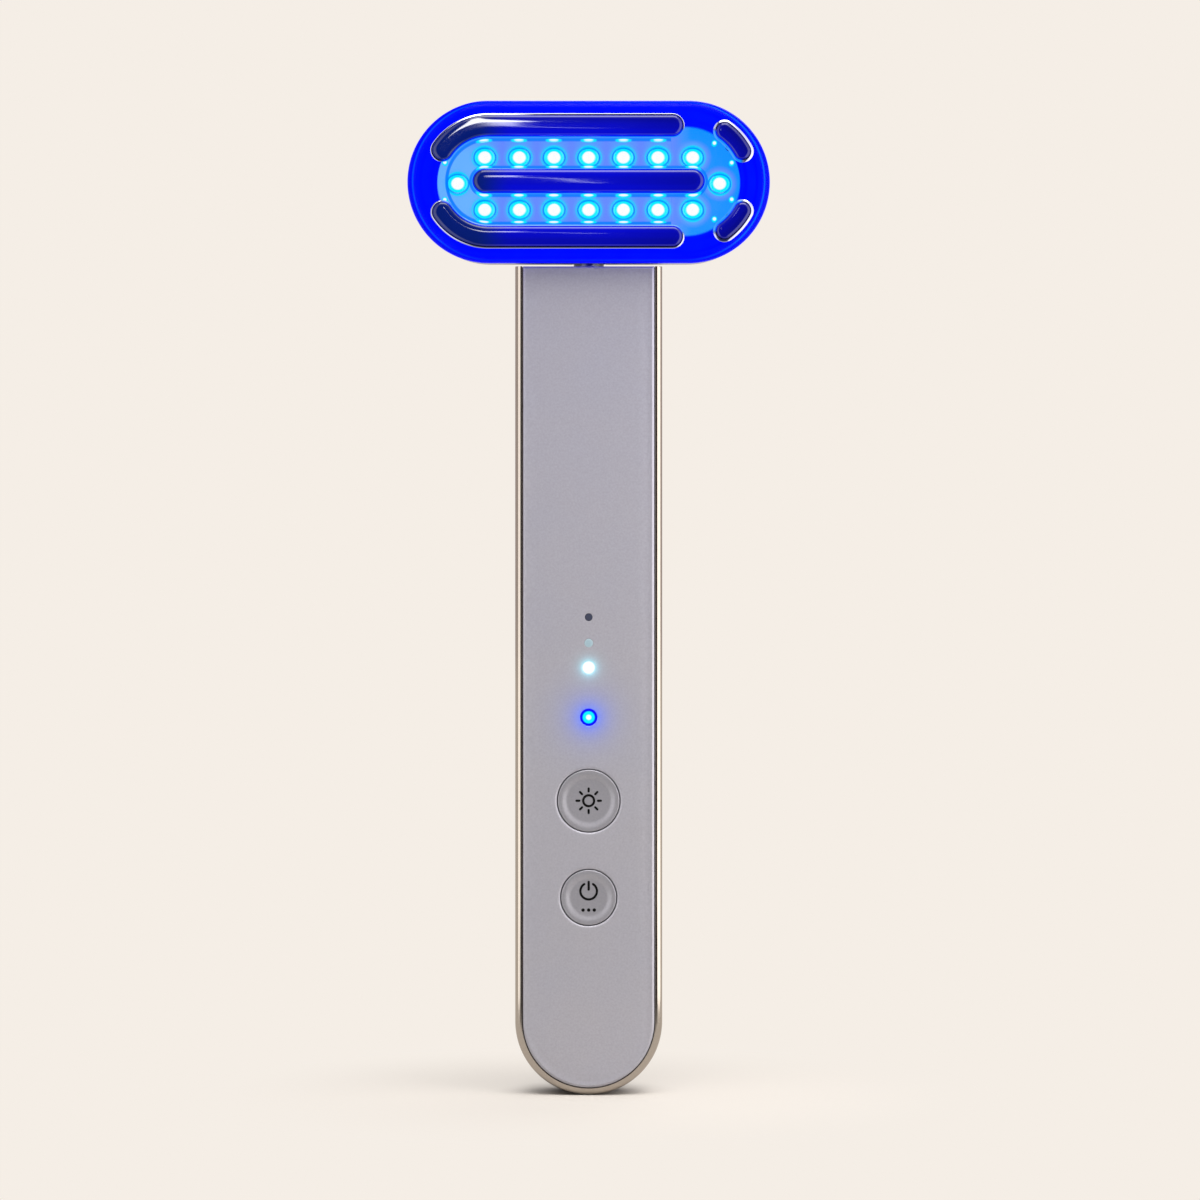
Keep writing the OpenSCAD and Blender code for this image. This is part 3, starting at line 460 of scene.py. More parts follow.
back = make("rear_shell_tray", skin(around_handle(HANDLE_R), tray(3.6, SEAM_Y), loop=False))
slot_mouth = profile([[0.35, -1], [0.35, 0]], arc((0.35, 0.35), 0.35, 270, 180, 5), [0, 3])
cut(back, upright(skin(stadium(SOCKET_RUN, 1.76), slot_mouth)))
finish(back, SATIN, "handle", "satin_shell", "rear_shell")

# %% [markdown]
# ## Buttons: anodised caps
# Each cap is turned from aluminium: a flat ring, a quick slope and a nearly flat dish for the
# fingertip. A concave dish lights up on the side away from the lamp, which is how the eye reads
# it as hollow. The cap is anodised a shade darker than the panel.

# %% Cap finish
CAP = grained("anodised aluminium cap", 0.4, 0.3, 0.003, ("#908F96", "#A09FA6"), (0.3, 0.4))


# %% Two caps
CAP_GAP = 0.14
CAP_RING = 0.45
CAP_SLOPE = 1.1


def dish(r, radius):
    """How deep a cap lies at distance r: smoothstep down from its ring, and a slow bowl inside."""
    inner = radius - CAP_RING
    slope = np.clip((inner - r) / CAP_SLOPE, 0, 1)
    return 0.2 * slope ** 2 * (3 - 2 * slope) + 0.1 * (1 - np.clip(r / inner, 0, 1) ** 2)


def cap_section(hole_r):
    """The cap from its middle out and round to the back: dish, ring, side, flange and stem."""
    r = hole_r - CAP_GAP
    across = np.linspace(0, r - 0.2, 44)
    top = np.stack([across, PANEL_Y + dish(across, r)], 1)
    return profile(top, arc((r - 0.14, PANEL_Y + 0.14), 0.14, -90, 0, 6),
                   [[r, -3.3], [hole_r + 0.5, -3.3], [hole_r + 0.5, -2.9], [1.4, -2.9],
                    [1.4, -2.25], [0, -2.25]])


for name, (z, r) in BUTTONS.items():
    cap = make(f"{name}_cap", turned(0, z, cap_section(r), 128))
    finish(cap, CAP, f"{name}_button", "satin_cap", f"{name}_button_cap", sharp=40)

# %% [markdown]
# The signs on the caps are pad printed: a thin, even black ink. The upper cap has a small sun for
# the light and the lower one the usual on and off sign over three dots. Each stroke is 0.35 mm
# wide and stands 0.015 mm off the metal, and it is draped over the dish by adding the dish's own
# depth to each point.

# %% Ink and its strokes
INK = grained("black printing ink", 0.0, 0.25, 0.001, ("#020202", "#060606"), (0.5, 0.7),
              Specular_IOR_Level=0.1)
HALF_STROKE = 0.175
INK_SECTION = np.array([[0, 0.05], [0, -0.011], [-0.012, -0.015]])


def stroke(a, b, half=HALF_STROKE):
    """A straight stroke with round ends from a to b: two half circles about its ends."""
    turn = math.degrees(math.atan2(b[1] - a[1], b[0] - a[0]))
    round_ends = [arc(b, half, turn - 90, turn + 90, 8), arc(a, half, turn + 90, turn + 270, 8)]
    return skin(np.vstack(round_ends), INK_SECTION)


def bow(radius, start, stop, half=HALF_STROKE, steps=48):
    """A bent stroke about the origin: outer arc, round end, inner arc and round end."""
    sides = [arc((0, 0), radius + half, start, stop, steps),
             arc(polar(radius, stop), half, stop, stop + 180, 8),
             arc((0, 0), radius - half, stop, start, steps, hollow=True),
             arc(polar(radius, start), half, start + 180, start + 360, 8)]
    return skin(np.vstack(sides), INK_SECTION)


def full_ring(radius, half=HALF_STROKE):
    """A closed ring of ink: a small rectangle carried round a circle."""
    section = np.array([[-half, 0.05], [-half, -0.015], [half, -0.015], [half, 0.05]])
    return skin(arc((0, 0), radius, 0, 357.5, 143), section, ring=True)


def moved(shape, z):
    """The same shape, z higher."""
    return shape[0] + np.array([0, 0, z]), shape[1]


print("a stroke is", 2 * HALF_STROKE, "mm wide")

# %% Two signs
rays = [stroke(polar(1.4, a), polar(1.85, a), 0.17) for a in range(0, 360, 45)]
dots = [stroke((x - 0.001, -1.9), (x + 0.001, -1.9), 0.26) for x in (-0.85, 0, 0.85)]
signs = {"light": joined(full_ring(0.82), *rays),
         "mode": joined(moved(bow(1.25, 122, 418), 0.95), stroke((0, 1.2), (0, 2.35)), *dots)}
for name, (z, r) in BUTTONS.items():
    points, faces = moved(signs[name], z)
    away = np.hypot(points[:, 0], points[:, 2] - z)
    points[:, 1] += PANEL_Y + dish(away, r - CAP_GAP)
    finish(make(f"{name}_sign", (points, faces)), INK, f"{name}_button", "satin_cap")
print("signs:", ", ".join(signs))

# %% [markdown]
# ## Indicator windows: polycarbonate light pipes
# Four short rods of polycarbonate end level with the panel. The first is unlit and smoky, the
# second faintly teal, the third glows white and the fourth blue with a bright middle. A lit pipe
# is brightest over its lamp, so each colour follows the distance from the rod's axis.


# %% Light pipes
def pipe_finish(name, label, colour, rough, rings):
    """A pipe's material: shades that change at set radii in mm, given as (radius, hex, blend)."""
    made, tree = material(label, colour, 0.0, rough, Specular_IOR_Level=0.15)
    away = from_window(tree, name)
    shade = rings[0][1]
    for radius, code, blend in rings[1:]:
        step = add(tree, "MapRange", {0: away, 1: (radius - blend) * MM, 2: (radius + blend) * MM}, **SMOOTH)
        shade = add(tree, "Mix", {0: step, 6: shade, 7: code}, **COLOUR)
    return made, tree, shade


def pipe_section(r):
    """A light pipe from its middle out: polished end, small chamfer, rod and its flange."""
    return profile([[0, PANEL_Y]], arc((r - 0.06, PANEL_Y + 0.06), 0.06, -90, 0, 4),
                   [[r, -3.2], [r + 0.45, -3.2], [r + 0.45, -2.7], [r, -2.7], [r, -1.95], [0, -1.95]])


# Label, colour, roughness and the rings, each from its radius on: (mm, hex, softness in mm).
PIPES = {
    "dark": ("smoky polycarbonate", "#3A3E4E", 0.3, [(0, "#3B3F50", 0), (0.5, "#30333F", 0.08)]),
    "teal": ("teal polycarbonate", "#8FA6B1", 0.35, [(0, "#8FA6B1", 0), (0.5, "#A2B6C0", 0.12)]),
    "white": ("white lit polycarbonate", "#203034", 0.4,
              [(0, "#FFFFFF", 0), (0.93, "#A8E6F4", 0.06)]),
    "blue": ("blue lit polycarbonate", "#000010", 0.4,
             [(0, "#FFFFFF", 0), (0.38, "#06F4FC", 0.12), (0.9, "#0006FF", 0.09)]),
}
for name, recipe in PIPES.items():
    z, r = WINDOWS[name]
    made, tree, shade = pipe_finish(name, *recipe)
    lit = name in ("white", "blue")
    drive(tree, "Emission Color" if lit else "Base Color", shade)
    tree.nodes["Principled BSDF"].inputs["Emission Strength"].default_value = 1.0 if lit else 0.0
    pipe = make(f"{name}_pipe", turned(0, z, pipe_section(r - 0.01), 64))
    finish(pipe, made, "handle", f"window_{name}", f"indicator_window_{name}")

# %% [markdown]
# ## Charging socket: stamped steel and gold
# In the round lower end sits a small stadium of rolled steel with a tongue inside it. The shell
# is a tube with a flared mouth, and the tongue carries a row of gold contacts on both faces. It
# is only seen from below, but a blank hole there would give the model away.

# %% Socket shell
STEEL = grained("stamped steel", 1.0, 0.5, 0.001, ("#A0A3A8", "#B0B3B8"), (0.26, 0.4))
tube = profile(arc((-0.15, 1.35), 0.15, 0, -180, 8), [[-0.3, 8.2]])
outer = [[-1.6, 8.5], [-0.1, 8.5], [0, 8.4]]
shell_section = profile(outer, tube, [[-1.25, 8.2]])
socket = make("charging_socket", upright(skin(stadium(SOCKET_RUN, 1.6), shell_section)))
finish(socket, STEEL, "handle", "steel", "usb_c_shell")

# %% Socket tongue
TONGUE, tree = material("black nylon with gold contacts", "#1D1D20", 0.0, 0.42)
_, x, z = position(tree)
comb = add(tree, "Math", {0: x, 1: 0.25 * MM}, operation="PINGPONG")
pad = add(tree, "Math", {0: comb, 1: 0.125 * MM}, operation="GREATER_THAN")
row = add(tree, "Math", {0: z, 1: 4.9 * MM, 2: 1.5 * MM}, operation="COMPARE")
side = add(tree, "Math", {0: x, 1: 0, 2: 2.9 * MM}, operation="COMPARE")
gold = add(tree, "Math", {0: pad, 1: row}, operation="MULTIPLY")
gold = add(tree, "Math", {0: gold, 1: side}, operation="MULTIPLY")
drive(tree, "Base Color", add(tree, "Mix", {0: gold, 6: "#1D1D20", 7: "#D9A94A"}, **COLOUR))
drive(tree, "Metallic", gold)
blade = profile([[-0.2, 1.75], [-0.06, 1.75], [0, 1.82], [0, 8.15], [-0.2, 8.15]])
corners = np.array([[3.35, 2.3, 1, 1], [-3.35, 2.3, -1, 1], [-3.35, 1.6, -1, -1], [3.35, 1.6, 1, -1]])
base = skin(stadium(SOCKET_RUN, 1.25), profile([[-0.9, 6.7], [0, 6.7], [0, 8.19], [-0.9, 8.19]]))
tongue = make("charging_tongue", upright(joined(skin(corners, blade), base)))
finish(tongue, TONGUE, "handle", "inner_plastic", "usb_c_tongue")

# %% [markdown]
# ## Head shell and gasket
# The head's back is the same painted ABS as the handle's, an oblong tray with a rounder edge. A
# thin silicone ring closes the joint to the clear cover and shows as a dark line. The tray has
# the bore for the neck and the curved slot that stops the head after a quarter turn.


# %% Head tray
def around_head(inset=0.0):
    """The head's outline, drawn in from the widest one: a large slot."""
    return stadium(HEAD_RUN, HEAD_R - inset, HEAD_Z, 96)


tray_piece = make("head_tray", skin(around_head(0.35), tray(3.0, -2.0, 0.4)))
bore = upright(skin(arc((0, NECK_Y), 0, 0, 355, 71), profile([[2.7, 124], [2.7, 125.5],
                                                              [2.45, 125.75], [2.45, 127.2]])))
stop_slot = skin(arc((0, NECK_Y), 4.1, -9, 189, 66),
                 profile([[-0.65, 125], [-0.65, 126.7], [0.65, 126.7], [0.65, 125]]), loop=False, ring=True)
cut(tray_piece, bore)
cut(tray_piece, upright(stop_slot))
finish(tray_piece, SATIN, "head", "satin_shell", "head_rear_shell")

# %% Seal
SILICONE = grained("black silicone", 0.0, 0.4, 0.003, ("#222226", "#2C2C30"), (0.6, 0.8))
seal_section = profile([[-1.15, -2.0], [-0.05, -2.0], [0, -2.05], [0, -2.3], [-0.05, -2.35], [-1.15, -2.35]])
seal = make("head_seal", skin(around_head(0.4), seal_section, ring=True))
finish(seal, SILICONE, "head", "rubber", "head_gasket")

# %% [markdown]
# ## Clear cover: lit acrylic
# The cover is injection moulded acrylic with a frosted border. The frosting catches the blue
# light and glows a pure, even blue, while the middle stays clear and shows the lights. Distance
# from the head's middle line tells the two apart: clear up to 8 mm, and blue from 8.5 mm. Three
# faint lines lie in the blue, two where the walls behind it end and one along the cover's edge.
# The distances are worked out by helpers, because the plate behind the cover needs them too.


# %% Distances on the head, for several finishes
def on_head(tree):
    """Where a point lies on the head: the vector, its X, X without a sign and height over the middle."""
    where, x, z = position(tree)
    across = add(tree, "Math", {0: x}, operation="ABSOLUTE")
    up = add(tree, "Math", {0: z, 1: HEAD_Z * MM}, operation="SUBTRACT")
    return where, x, across, up


def apart(tree, across, up, point=(0, 0)):
    """Distance in the front view from a point in mm: length of (across - its x, up - its z)."""
    flat = add(tree, "CombineXYZ", {0: across, 2: up})
    point = (point[0] * MM, 0, point[1] * MM)
    return add(tree, "VectorMath", {0: flat, 1: point}, out="Value", operation="DISTANCE")


def off_middle(tree, across, up, half_run):
    """Distance to the head's middle line: length of (max(across - half_run, 0), up)."""
    past = add(tree, "Math", {0: across, 1: half_run * MM}, operation="SUBTRACT")
    past = add(tree, "Math", {0: past, 1: 0.0}, operation="MAXIMUM")
    return apart(tree, past, up)


def off_column(tree, across, last):
    """Sideways distance to the nearest column of lights, when the outermost is last mm out."""
    column = add(tree, "Math", {0: across, 1: LIGHT_PITCH / 2 * MM}, operation="PINGPONG")
    past = add(tree, "Math", {0: across, 1: last * MM}, operation="SUBTRACT")
    return add(tree, "Math", {0: column, 1: past}, operation="MAXIMUM")


def band(tree, value, low, high, blend):
    """1 between two distances in mm and 0 outside, with a soft edge on both sides."""
    rise = add(tree, "MapRange", {0: value, 1: (low - blend) * MM, 2: (low + blend) * MM}, **SMOOTH)
    fall = add(tree, "MapRange", {0: value, 1: (high - blend) * MM, 2: (high + blend) * MM, 3: 1.0,
                                  4: 0.0}, **SMOOTH)
    return add(tree, "Math", {0: rise, 1: fall}, operation="MULTIPLY")


# %% Lit acrylic
COVER_RUN = 14.6
CLEAR_TO = 8.0
BLUE_FROM = 8.5
FLOW = 4.0
ACRYLIC, tree = material("lit acrylic", "#000498", 0.0, 0.15, Emission_Strength=0.95,
                         Specular_IOR_Level=0.02)
where, x, across, up = on_head(tree)
away = off_middle(tree, across, up, COVER_RUN)
frost = add(tree, "MapRange", {0: away, 1: CLEAR_TO * MM, 2: BLUE_FROM * MM, 3: 0.05, 4: 1.0}, **SMOOTH)
flow = add(tree, "TexNoise", {"Vector": where, "Scale": 1 / (FLOW * MM), "Detail": 1.0})
print("lit acrylic: clear to", CLEAR_TO, "mm from the middle line, blue from", BLUE_FROM, "mm")

# %% Lines in the blue border
ends = add(tree, "MapRange", {0: across, 1: 14 * MM, 2: 22 * MM, 3: 0.2, 4: 1.0}, **SMOOTH)
to_right = add(tree, "MapRange", {0: x, 1: -5 * MM, 2: 5 * MM, 3: 0.55, 4: 1.0})
ends = add(tree, "Math", {0: ends, 1: to_right}, operation="MULTIPLY")
layers = [(flow, "#0010FF")]
# From and to in mm from the middle line, softness, colour and strength.
for low, high, blend, code, amount in ((8.8, 9.3, 0.15, "#0000D4", 0.9),
                                       (10.5, 10.9, 0.15, "#0000D0", 0.9),
                                       (11.75, 11.95, 0.1, "#0070F8", 0.85)):
    line = add(tree, "Math", {0: band(tree, away, low, high, blend), 1: amount}, operation="MULTIPLY")
    layers.append((add(tree, "Math", {0: line, 1: ends}, operation="MULTIPLY"), code))
print(len(layers) - 1, "lines in the border")

# %% Painted shade on the rim of the border, wider at the bottom
below = add(tree, "MapRange", {0: up, 1: -8 * MM, 2: -11 * MM}, **SMOOTH)
rim_start = add(tree, "MapRange", {0: below, 3: 11.9 * MM, 4: 11.3 * MM})
painted_rim_shade = add(tree, "Math", {0: away, 1: rim_start}, operation="SUBTRACT")
painted_rim_shade = add(tree, "MapRange", {0: painted_rim_shade, 1: 0.0, 2: 0.3 * MM, 4: 0.5}, **SMOOTH)
shade = layered(tree, "#0000FF", *layers, (painted_rim_shade, "#0000B8"))
print("lit acrylic:", len(tree.nodes), "nodes")

# %% [markdown]
# Where the clear middle meets an electrode, the edge of the moulding catches the light: a thin
# line of cyan blue runs beside the strips and the bar.

# %% Bright lines beside the electrodes
BAR_RUN = 15.65
STRIP_LINE = 6.3
BAR_LINE = 2.1
by_strip = off_middle(tree, across, up, HEAD_RUN)
by_bar = off_middle(tree, across, up, BAR_RUN)
past_end = add(tree, "MapRange", {0: x, 1: 12.4 * MM, 2: 12.8 * MM, 4: 0.02})
by_strip = add(tree, "Math", {0: by_strip, 1: past_end}, operation="ADD")


def beside(tree, distance, at):
    """How far a distance is from a set one in mm, on either side."""
    gap = add(tree, "Math", {0: distance, 1: at * MM}, operation="SUBTRACT")
    return add(tree, "Math", {0: gap}, operation="ABSOLUTE")


def least(tree, *values):
    """The smallest of several values."""
    low = values[0]
    for value in values[1:]:
        low = add(tree, "Math", {0: low, 1: value}, operation="MINIMUM")
    return low


seam = least(tree, beside(tree, by_strip, STRIP_LINE), beside(tree, by_bar, BAR_LINE))
seam = add(tree, "MapRange", {0: seam, 1: 0.28 * MM, 2: 0.14 * MM, 4: 0.8}, **SMOOTH)
print("lines", STRIP_LINE, "mm from the strips' middle line and", BAR_LINE, "mm from the bar's")

# %% [markdown]
# A small white spark sits on those lines beside each light, and one by each tip of an electrode.
# A spark is a flat ellipse about the light's column: its distance is the length of (across / 1.4
# mm, up / height), with up counted from the nearest line. The height is largest under the bar.

# %% Sparks beside the lights
SPARK_WIDTH = 1.4
SPARK_HEIGHTS = (0.26, 0.36)
TIP_SPARK = 0.5
column = off_column(tree, across, ROW_END + 0.2)
column = add(tree, "Math", {0: column, 1: SPARK_WIDTH * MM}, operation="DIVIDE")
under_bar = add(tree, "Math", {0: up, 1: -2.1 * MM, 2: 1.0 * MM}, operation="COMPARE")
tall = add(tree, "MapRange", {0: under_bar, 3: SPARK_HEIGHTS[0] * MM, 4: SPARK_HEIGHTS[1] * MM})
from_line = least(tree, beside(tree, by_strip, 6.16), beside(tree, by_bar, 2.13))
from_line = add(tree, "Math", {0: from_line, 1: tall}, operation="DIVIDE")
high = add(tree, "Math", {0: up}, operation="ABSOLUTE")
tips = least(tree, *[apart(tree, x, high, tip) for tip in ((-21.6, 2.8), (18.9, 5.7), (21.5, 2.75))])
tips = add(tree, "Math", {0: tips, 1: TIP_SPARK * MM}, operation="DIVIDE")
spark = least(tree, apart(tree, column, from_line), tips)
print("sparks:", SPARK_WIDTH, "mm wide and", SPARK_HEIGHTS, "mm high")

# %% Shades of the lines and sparks
core = add(tree, "MapRange", {0: spark, 1: 0.6, 2: 0.35}, **SMOOTH)
spark = add(tree, "MapRange", {0: spark, 1: 1.0, 2: 0.75}, **SMOOTH)
spark_shade = add(tree, "Mix", {0: core, 6: "#08EEFF", 7: "#FFFFFF"}, **COLOUR)
shade = layered(tree, shade, (seam, "#0A90FC"), (spark, spark_shade))
bright = add(tree, "Math", {0: seam, 1: spark}, operation="MAXIMUM")
drive(tree, "Alpha", add(tree, "Math", {0: frost, 1: bright}, operation="MAXIMUM"))
drive(tree, "Emission Color", shade)
drive(tree, "Roughness", add(tree, "MapRange", {0: flow, 3: 0.1, 4: 0.16}))
print("lit acrylic in all:", len(tree.nodes), "nodes")

# %% [markdown]
# The cover itself is a shallow cap: a rounded front edge, a side, a lip that sits on the seal and
# the inside of the wall. Eight round holes let the electrodes' studs through.

# %% Cover
lens_section = profile(
    arc((-1.5, LENS_Y + 1.5), 1.5, -90, 0, 20), [[-0.3, LENS_BACK - 0.08], [-0.38, LENS_BACK],
                                                  [-1.72, LENS_BACK], [-1.8, LENS_BACK - 0.08]],
    arc((-2.1, LENS_Y + 1.6), 0.3, 0, -90, 5))
# Two behind each long electrode, two behind the bar and one behind each small one.
STUDS = [(x, side * 7.75) for side in (1, -1) for x in (-10.05, 8.05)] + [(-10.55, 0), (10.55, 0)]
STUDS += [(HEAD_RUN, 0) + polar(8.4, side * 41.75) for side in (1, -1)]
cover = make("clear_cover", skin(around_head(), lens_section))
cut(cover, joined(*[turned(x, HEAD_Z + z, profile([[0.85, -5.5], [0.85, -8]]), 24) for x, z in STUDS]))
finish(cover, ACRYLIC, "head", "lit_lens", "head_lens")

# %% [markdown]
# ## Electrodes: polished titanium with a dark blue film
# Each electrode is a stamped, crowned piece that was polished and anodised deep blue, and the blue
# light round it is painted on it as a faint glow. A narrow chamfer at its foot was left bare, and a
# black ledge parts it from the crown. The surface shrinks the outline towards its own middle line
# while it rises along a superellipse, so both sides meet on a soft ridge and no cap is needed. Two
# values ride on the points: the zone, from chamfer to ridge, and how much it faces the lights.


# %% Pillow shapes
def pillow(outline, width, foot, slope):
    """A crowned strip: a chamfer, a ledge, then rings that shrink by t and rise by a superellipse.

    The chamfer is foot wide and rises by slope times that. Above the ledge, depth is ledge +
    rise * (1 - (1 - t) ** 4) ** (1 / 4). The second result says for each ring 0 to 1 over the
    chamfer, 1 to 2 over the ledge and 2 to 3 up to the ridge.
    """
    t = np.linspace(0, 1, 26) ** 2
    half, step = width / 2, foot + 0.16
    ledge = LENS_Y - 0.03 - slope * foot
    rise = (1 - (1 - t) ** 4) ** 0.25
    crown = np.stack([-step - (half - step) * t, ledge + (CROWN_Y - ledge) * rise], 1)
    section = profile([[-0.05, LENS_Y + 0.02], [0, LENS_Y - 0.02], [-0.02, LENS_Y - 0.04],
                       [-foot, ledge]], crown)
    zone = np.interp(-section[:, 0], [0, foot, step, half], [0, 1, 2, 3])
    return skin(outline, section, caps=(True, False)), zone


print("an electrode's ridge stands", LENS_Y - CROWN_Y, "mm proud of the cover")


# %% Outlines of the electrodes
def inward(outline, shape):
    """How much each point faces the lights, 1 to -1: way out against the way from the middle line."""
    spine = np.clip(outline[:, 0], -HEAD_RUN, HEAD_RUN)
    away = np.stack([outline[:, 0] - spine, outline[:, 1] - HEAD_Z], 1)
    away /= np.maximum(np.linalg.norm(away, axis=1, keepdims=True), 1e-6)
    return np.broadcast_to(-(away * outline[:, 2:]).sum(1)[:, None], shape)


def straight(a, b, steps):
    """Points evenly along a straight side: a + share * (b - a), without its two ends."""
    share = np.linspace(0, 1, steps)[1:-1, None]
    return a + share * (b - a)


def strip(x, reach, width, start, stop, run=None):
    """An outline that follows an arc about (x, middle), with round tips at both its ends.

    With run, the strip goes on from the arc's start along a straight line to that x.
    """
    half, middle = width / 2, np.array([x, HEAD_Z])
    outer = arc(middle, reach + half, start, stop, 32)
    tip = arc(middle + polar(reach, stop), half, stop, stop + 180, 24)
    inner = arc(middle, reach - half, stop, start, 32, hollow=True)
    if run is None:
        first = arc(middle + polar(reach, start), half, start - 180, start, 24)
        return np.vstack([first, outer, tip, inner])
    first = arc((run, HEAD_Z + reach), half, -90, 90, 24)
    return np.vstack([first, straight(first[-1], outer[0], 40), outer, tip, inner,
                      straight(inner[-1], first[0], 40)])


def bar(half_length, width):
    """A straight strip about the head's middle: two round tips and its long sides."""
    half = width / 2
    right, left = np.split(stadium(half_length - half, half, HEAD_Z), 2)
    return np.vstack([right, straight(right[-1], left[0], 60), left, straight(left[-1], right[0], 60)])


def flipped(outline):
    """The same outline mirrored in the head's middle line."""
    return outline * [1, -1, 1, -1] + [0, 2 * HEAD_Z, 0, 0]


# %% [markdown]
# The film is a clear oxide over dark metal, about as glossy as glass, so highlights are white
# and sharp. The blue of the body is a painted glow, brightest beside the lights and dimmer on the
# far side. The bare chamfer is a real metal mirror: it draws a pale line round each piece, with a
# faint painted blue glow on it, and white where it faces the lamp at the right. Towards the lights
# the same line is painted cyan.

# %% Blue anodised titanium
HAZE = 3.5
TITANIUM, tree = material("blue anodised titanium", "#02031C", 0.0, 0.05, IOR=1.45,
                          Emission_Strength=1.0)
zone = add(tree, "Attribute", out="Fac", attribute_name="zone")
facing = add(tree, "Attribute", out="Fac", attribute_name="facing")
where, x, _ = position(tree)
chamfer = add(tree, "MapRange", {0: zone, 1: 1.0, 2: 1.15, 3: 1.0, 4: 0.0})
toward = add(tree, "MapRange", {0: facing, 1: 0.1, 2: 0.6}, **SMOOTH)
outward = add(tree, "MapRange", {0: facing, 1: 0.4, 2: 0.0}, **SMOOTH)
bare = add(tree, "Math", {0: chamfer, 1: outward}, operation="MULTIPLY")
drive(tree, "Metallic", bare)
drive(tree, "Base Color", add(tree, "Mix", {0: bare, 6: "#02031C", 7: "#9C9EB8"}, **COLOUR))
haze = add(tree, "TexNoise", {"Vector": where, "Scale": 1 / (HAZE * MM), "Detail": 1.0})
drive(tree, "Roughness", add(tree, "MapRange", {0: haze, 3: 0.03, 4: 0.07}))
print("blue anodised titanium:", len(tree.nodes), "nodes")

# %% [markdown]
# The painted glow across a strip is a ramp over facing * (3 - zone), held between -0.5 and 0.5:
# lowest at the far edge, 0 on the ridge and highest at the edge beside the lights. The right ends
# are painted dimmer. The bent left ends lie farther from the lights and are painted nearly black,
# with a trace of blue in their middle.

# %% Painted glow across a strip
from_ridge = add(tree, "Math", {0: 3.0, 1: zone}, operation="SUBTRACT")
from_ridge = add(tree, "Math", {0: from_ridge, 1: 0.5}, operation="MINIMUM", use_clamp=True)
across = add(tree, "Math", {0: from_ridge, 1: facing}, operation="MULTIPLY")
painted_body_glow = add(tree, "MapRange", {0: across, 1: -0.5, 2: 0.1}, **SMOOTH)
near_lights = add(tree, "MapRange", {0: across, 1: 0.2, 2: 0.6}, **SMOOTH)
right = add(tree, "MapRange", {0: x, 1: 3 * MM, 2: 19 * MM, 4: 0.42})
left_bend = add(tree, "MapRange", {0: x, 1: -11 * MM, 2: -17 * MM, 4: 0.96}, **SMOOTH)
trace = add(tree, "MapRange", {0: from_ridge, 1: 0.75, 2: 0.45}, **SMOOTH)
bend_shade = add(tree, "Mix", {0: trace, 6: "#00024C", 7: "#001A66"}, **COLOUR)
shade = layered(tree, "#0002A8", (painted_body_glow, "#0002C0"), (near_lights, "#0004D0"), (right, "#000000"),
                (left_bend, bend_shade))
print("glow across a strip:", len(tree.nodes), "nodes so far")

# %% Painted glow of the ledge and the chamfer
ledge = add(tree, "MapRange", {0: zone, 1: 2.05, 2: 1.95})
ledge_shade = add(tree, "Mix", {0: toward, 6: "#000007", 7: "#000CF0"}, **COLOUR)
edge_shade = add(tree, "Mix", {0: toward, 6: "#101C50", 7: "#0A90FC"}, **COLOUR)
shade = layered(tree, shade, (ledge, ledge_shade), (chamfer, edge_shade))
drive(tree, "Emission Color", shade)
print("blue anodised titanium in all:", len(tree.nodes), "nodes")

# %% Five electrodes
long_strip = strip(-HEAD_RUN, 8.35, 3.6, 90, 146, run=12.6)
small_strip = strip(HEAD_RUN, 9.2, 3.4, 29, 54.5)
# Outline, width, the chamfer's width and slope, and the studs behind the strip.
STRIPS = {
    "electrode_upper": (long_strip, 3.6, 0.12, 0.15, STUDS[0:2]),
    "electrode_lower": (flipped(long_strip), 3.6, 0.18, 0.8, STUDS[2:4]),
    "electrode_centre": (bar(17.55, 3.8), 3.8, 0.08, 0.15, STUDS[4:6]),
    "electrode_small_upper": (small_strip, 3.4, 0.34, 0.45, STUDS[6:7]),
    "electrode_small_lower": (flipped(small_strip), 3.4, 0.34, 0.45, STUDS[7:8]),
}
for node, (outline, width, foot, slope, studs) in STRIPS.items():
    shape, zone = pillow(outline, width, foot, slope)
    grid = (len(outline), len(zone))
    facing = np.ones(grid) if node == "electrode_centre" else inward(outline, grid)
    pins = [turned(px, HEAD_Z + pz, profile([[0.8, LENS_Y - 0.1], [0.8, -5.25], [0.7, -5.15]]), 32)
            for px, pz in studs]
    extra = np.zeros(sum(len(points) for points, _ in pins))
    values = {"zone": np.append(np.broadcast_to(zone, grid), extra),
              "facing": np.append(facing, extra)}
    strip_piece = make(f"{node}_strip", joined(shape, *pins), values)
    finish(strip_piece, TITANIUM, "head", "chrome_electrode", node, sharp=50)

# %% [markdown]
# ## Treatment lights: clear epoxy over a small lamp
# Each light is a small dome of clear epoxy in a round cup. Lit, its middle burns out to white and
# the cup round it is cyan, with a thin blue edge where the cup ends. The radius from the light's
# own axis rides on the points, so all sixteen share one finish. It counts less to the sides, so
# the rings are drawn wider there, where the light of the neighbours adds to them.

# %% Lit epoxy
EPOXY, tree = material("lit clear epoxy", "#001018", 0.0, 0.15, Emission_Strength=1.08)
radius = add(tree, "Attribute", out="Fac", attribute_name="radius")
shade = "#FFFFFF"
# Radius and softness in mm, and the shade from there on.
for at, blend, code in ((0.95, 0.1, "#04F0FF"), (1.38, 0.09, "#0092F4"), (1.6, 0.06, "#06CCF4")):
    step = add(tree, "MapRange", {0: radius, 1: at - blend, 2: at + blend}, **SMOOTH)
    shade = add(tree, "Mix", {0: step, 6: shade, 7: code}, **COLOUR)
drive(tree, "Emission Color", shade)
print("lit clear epoxy:", len(tree.nodes), "nodes")

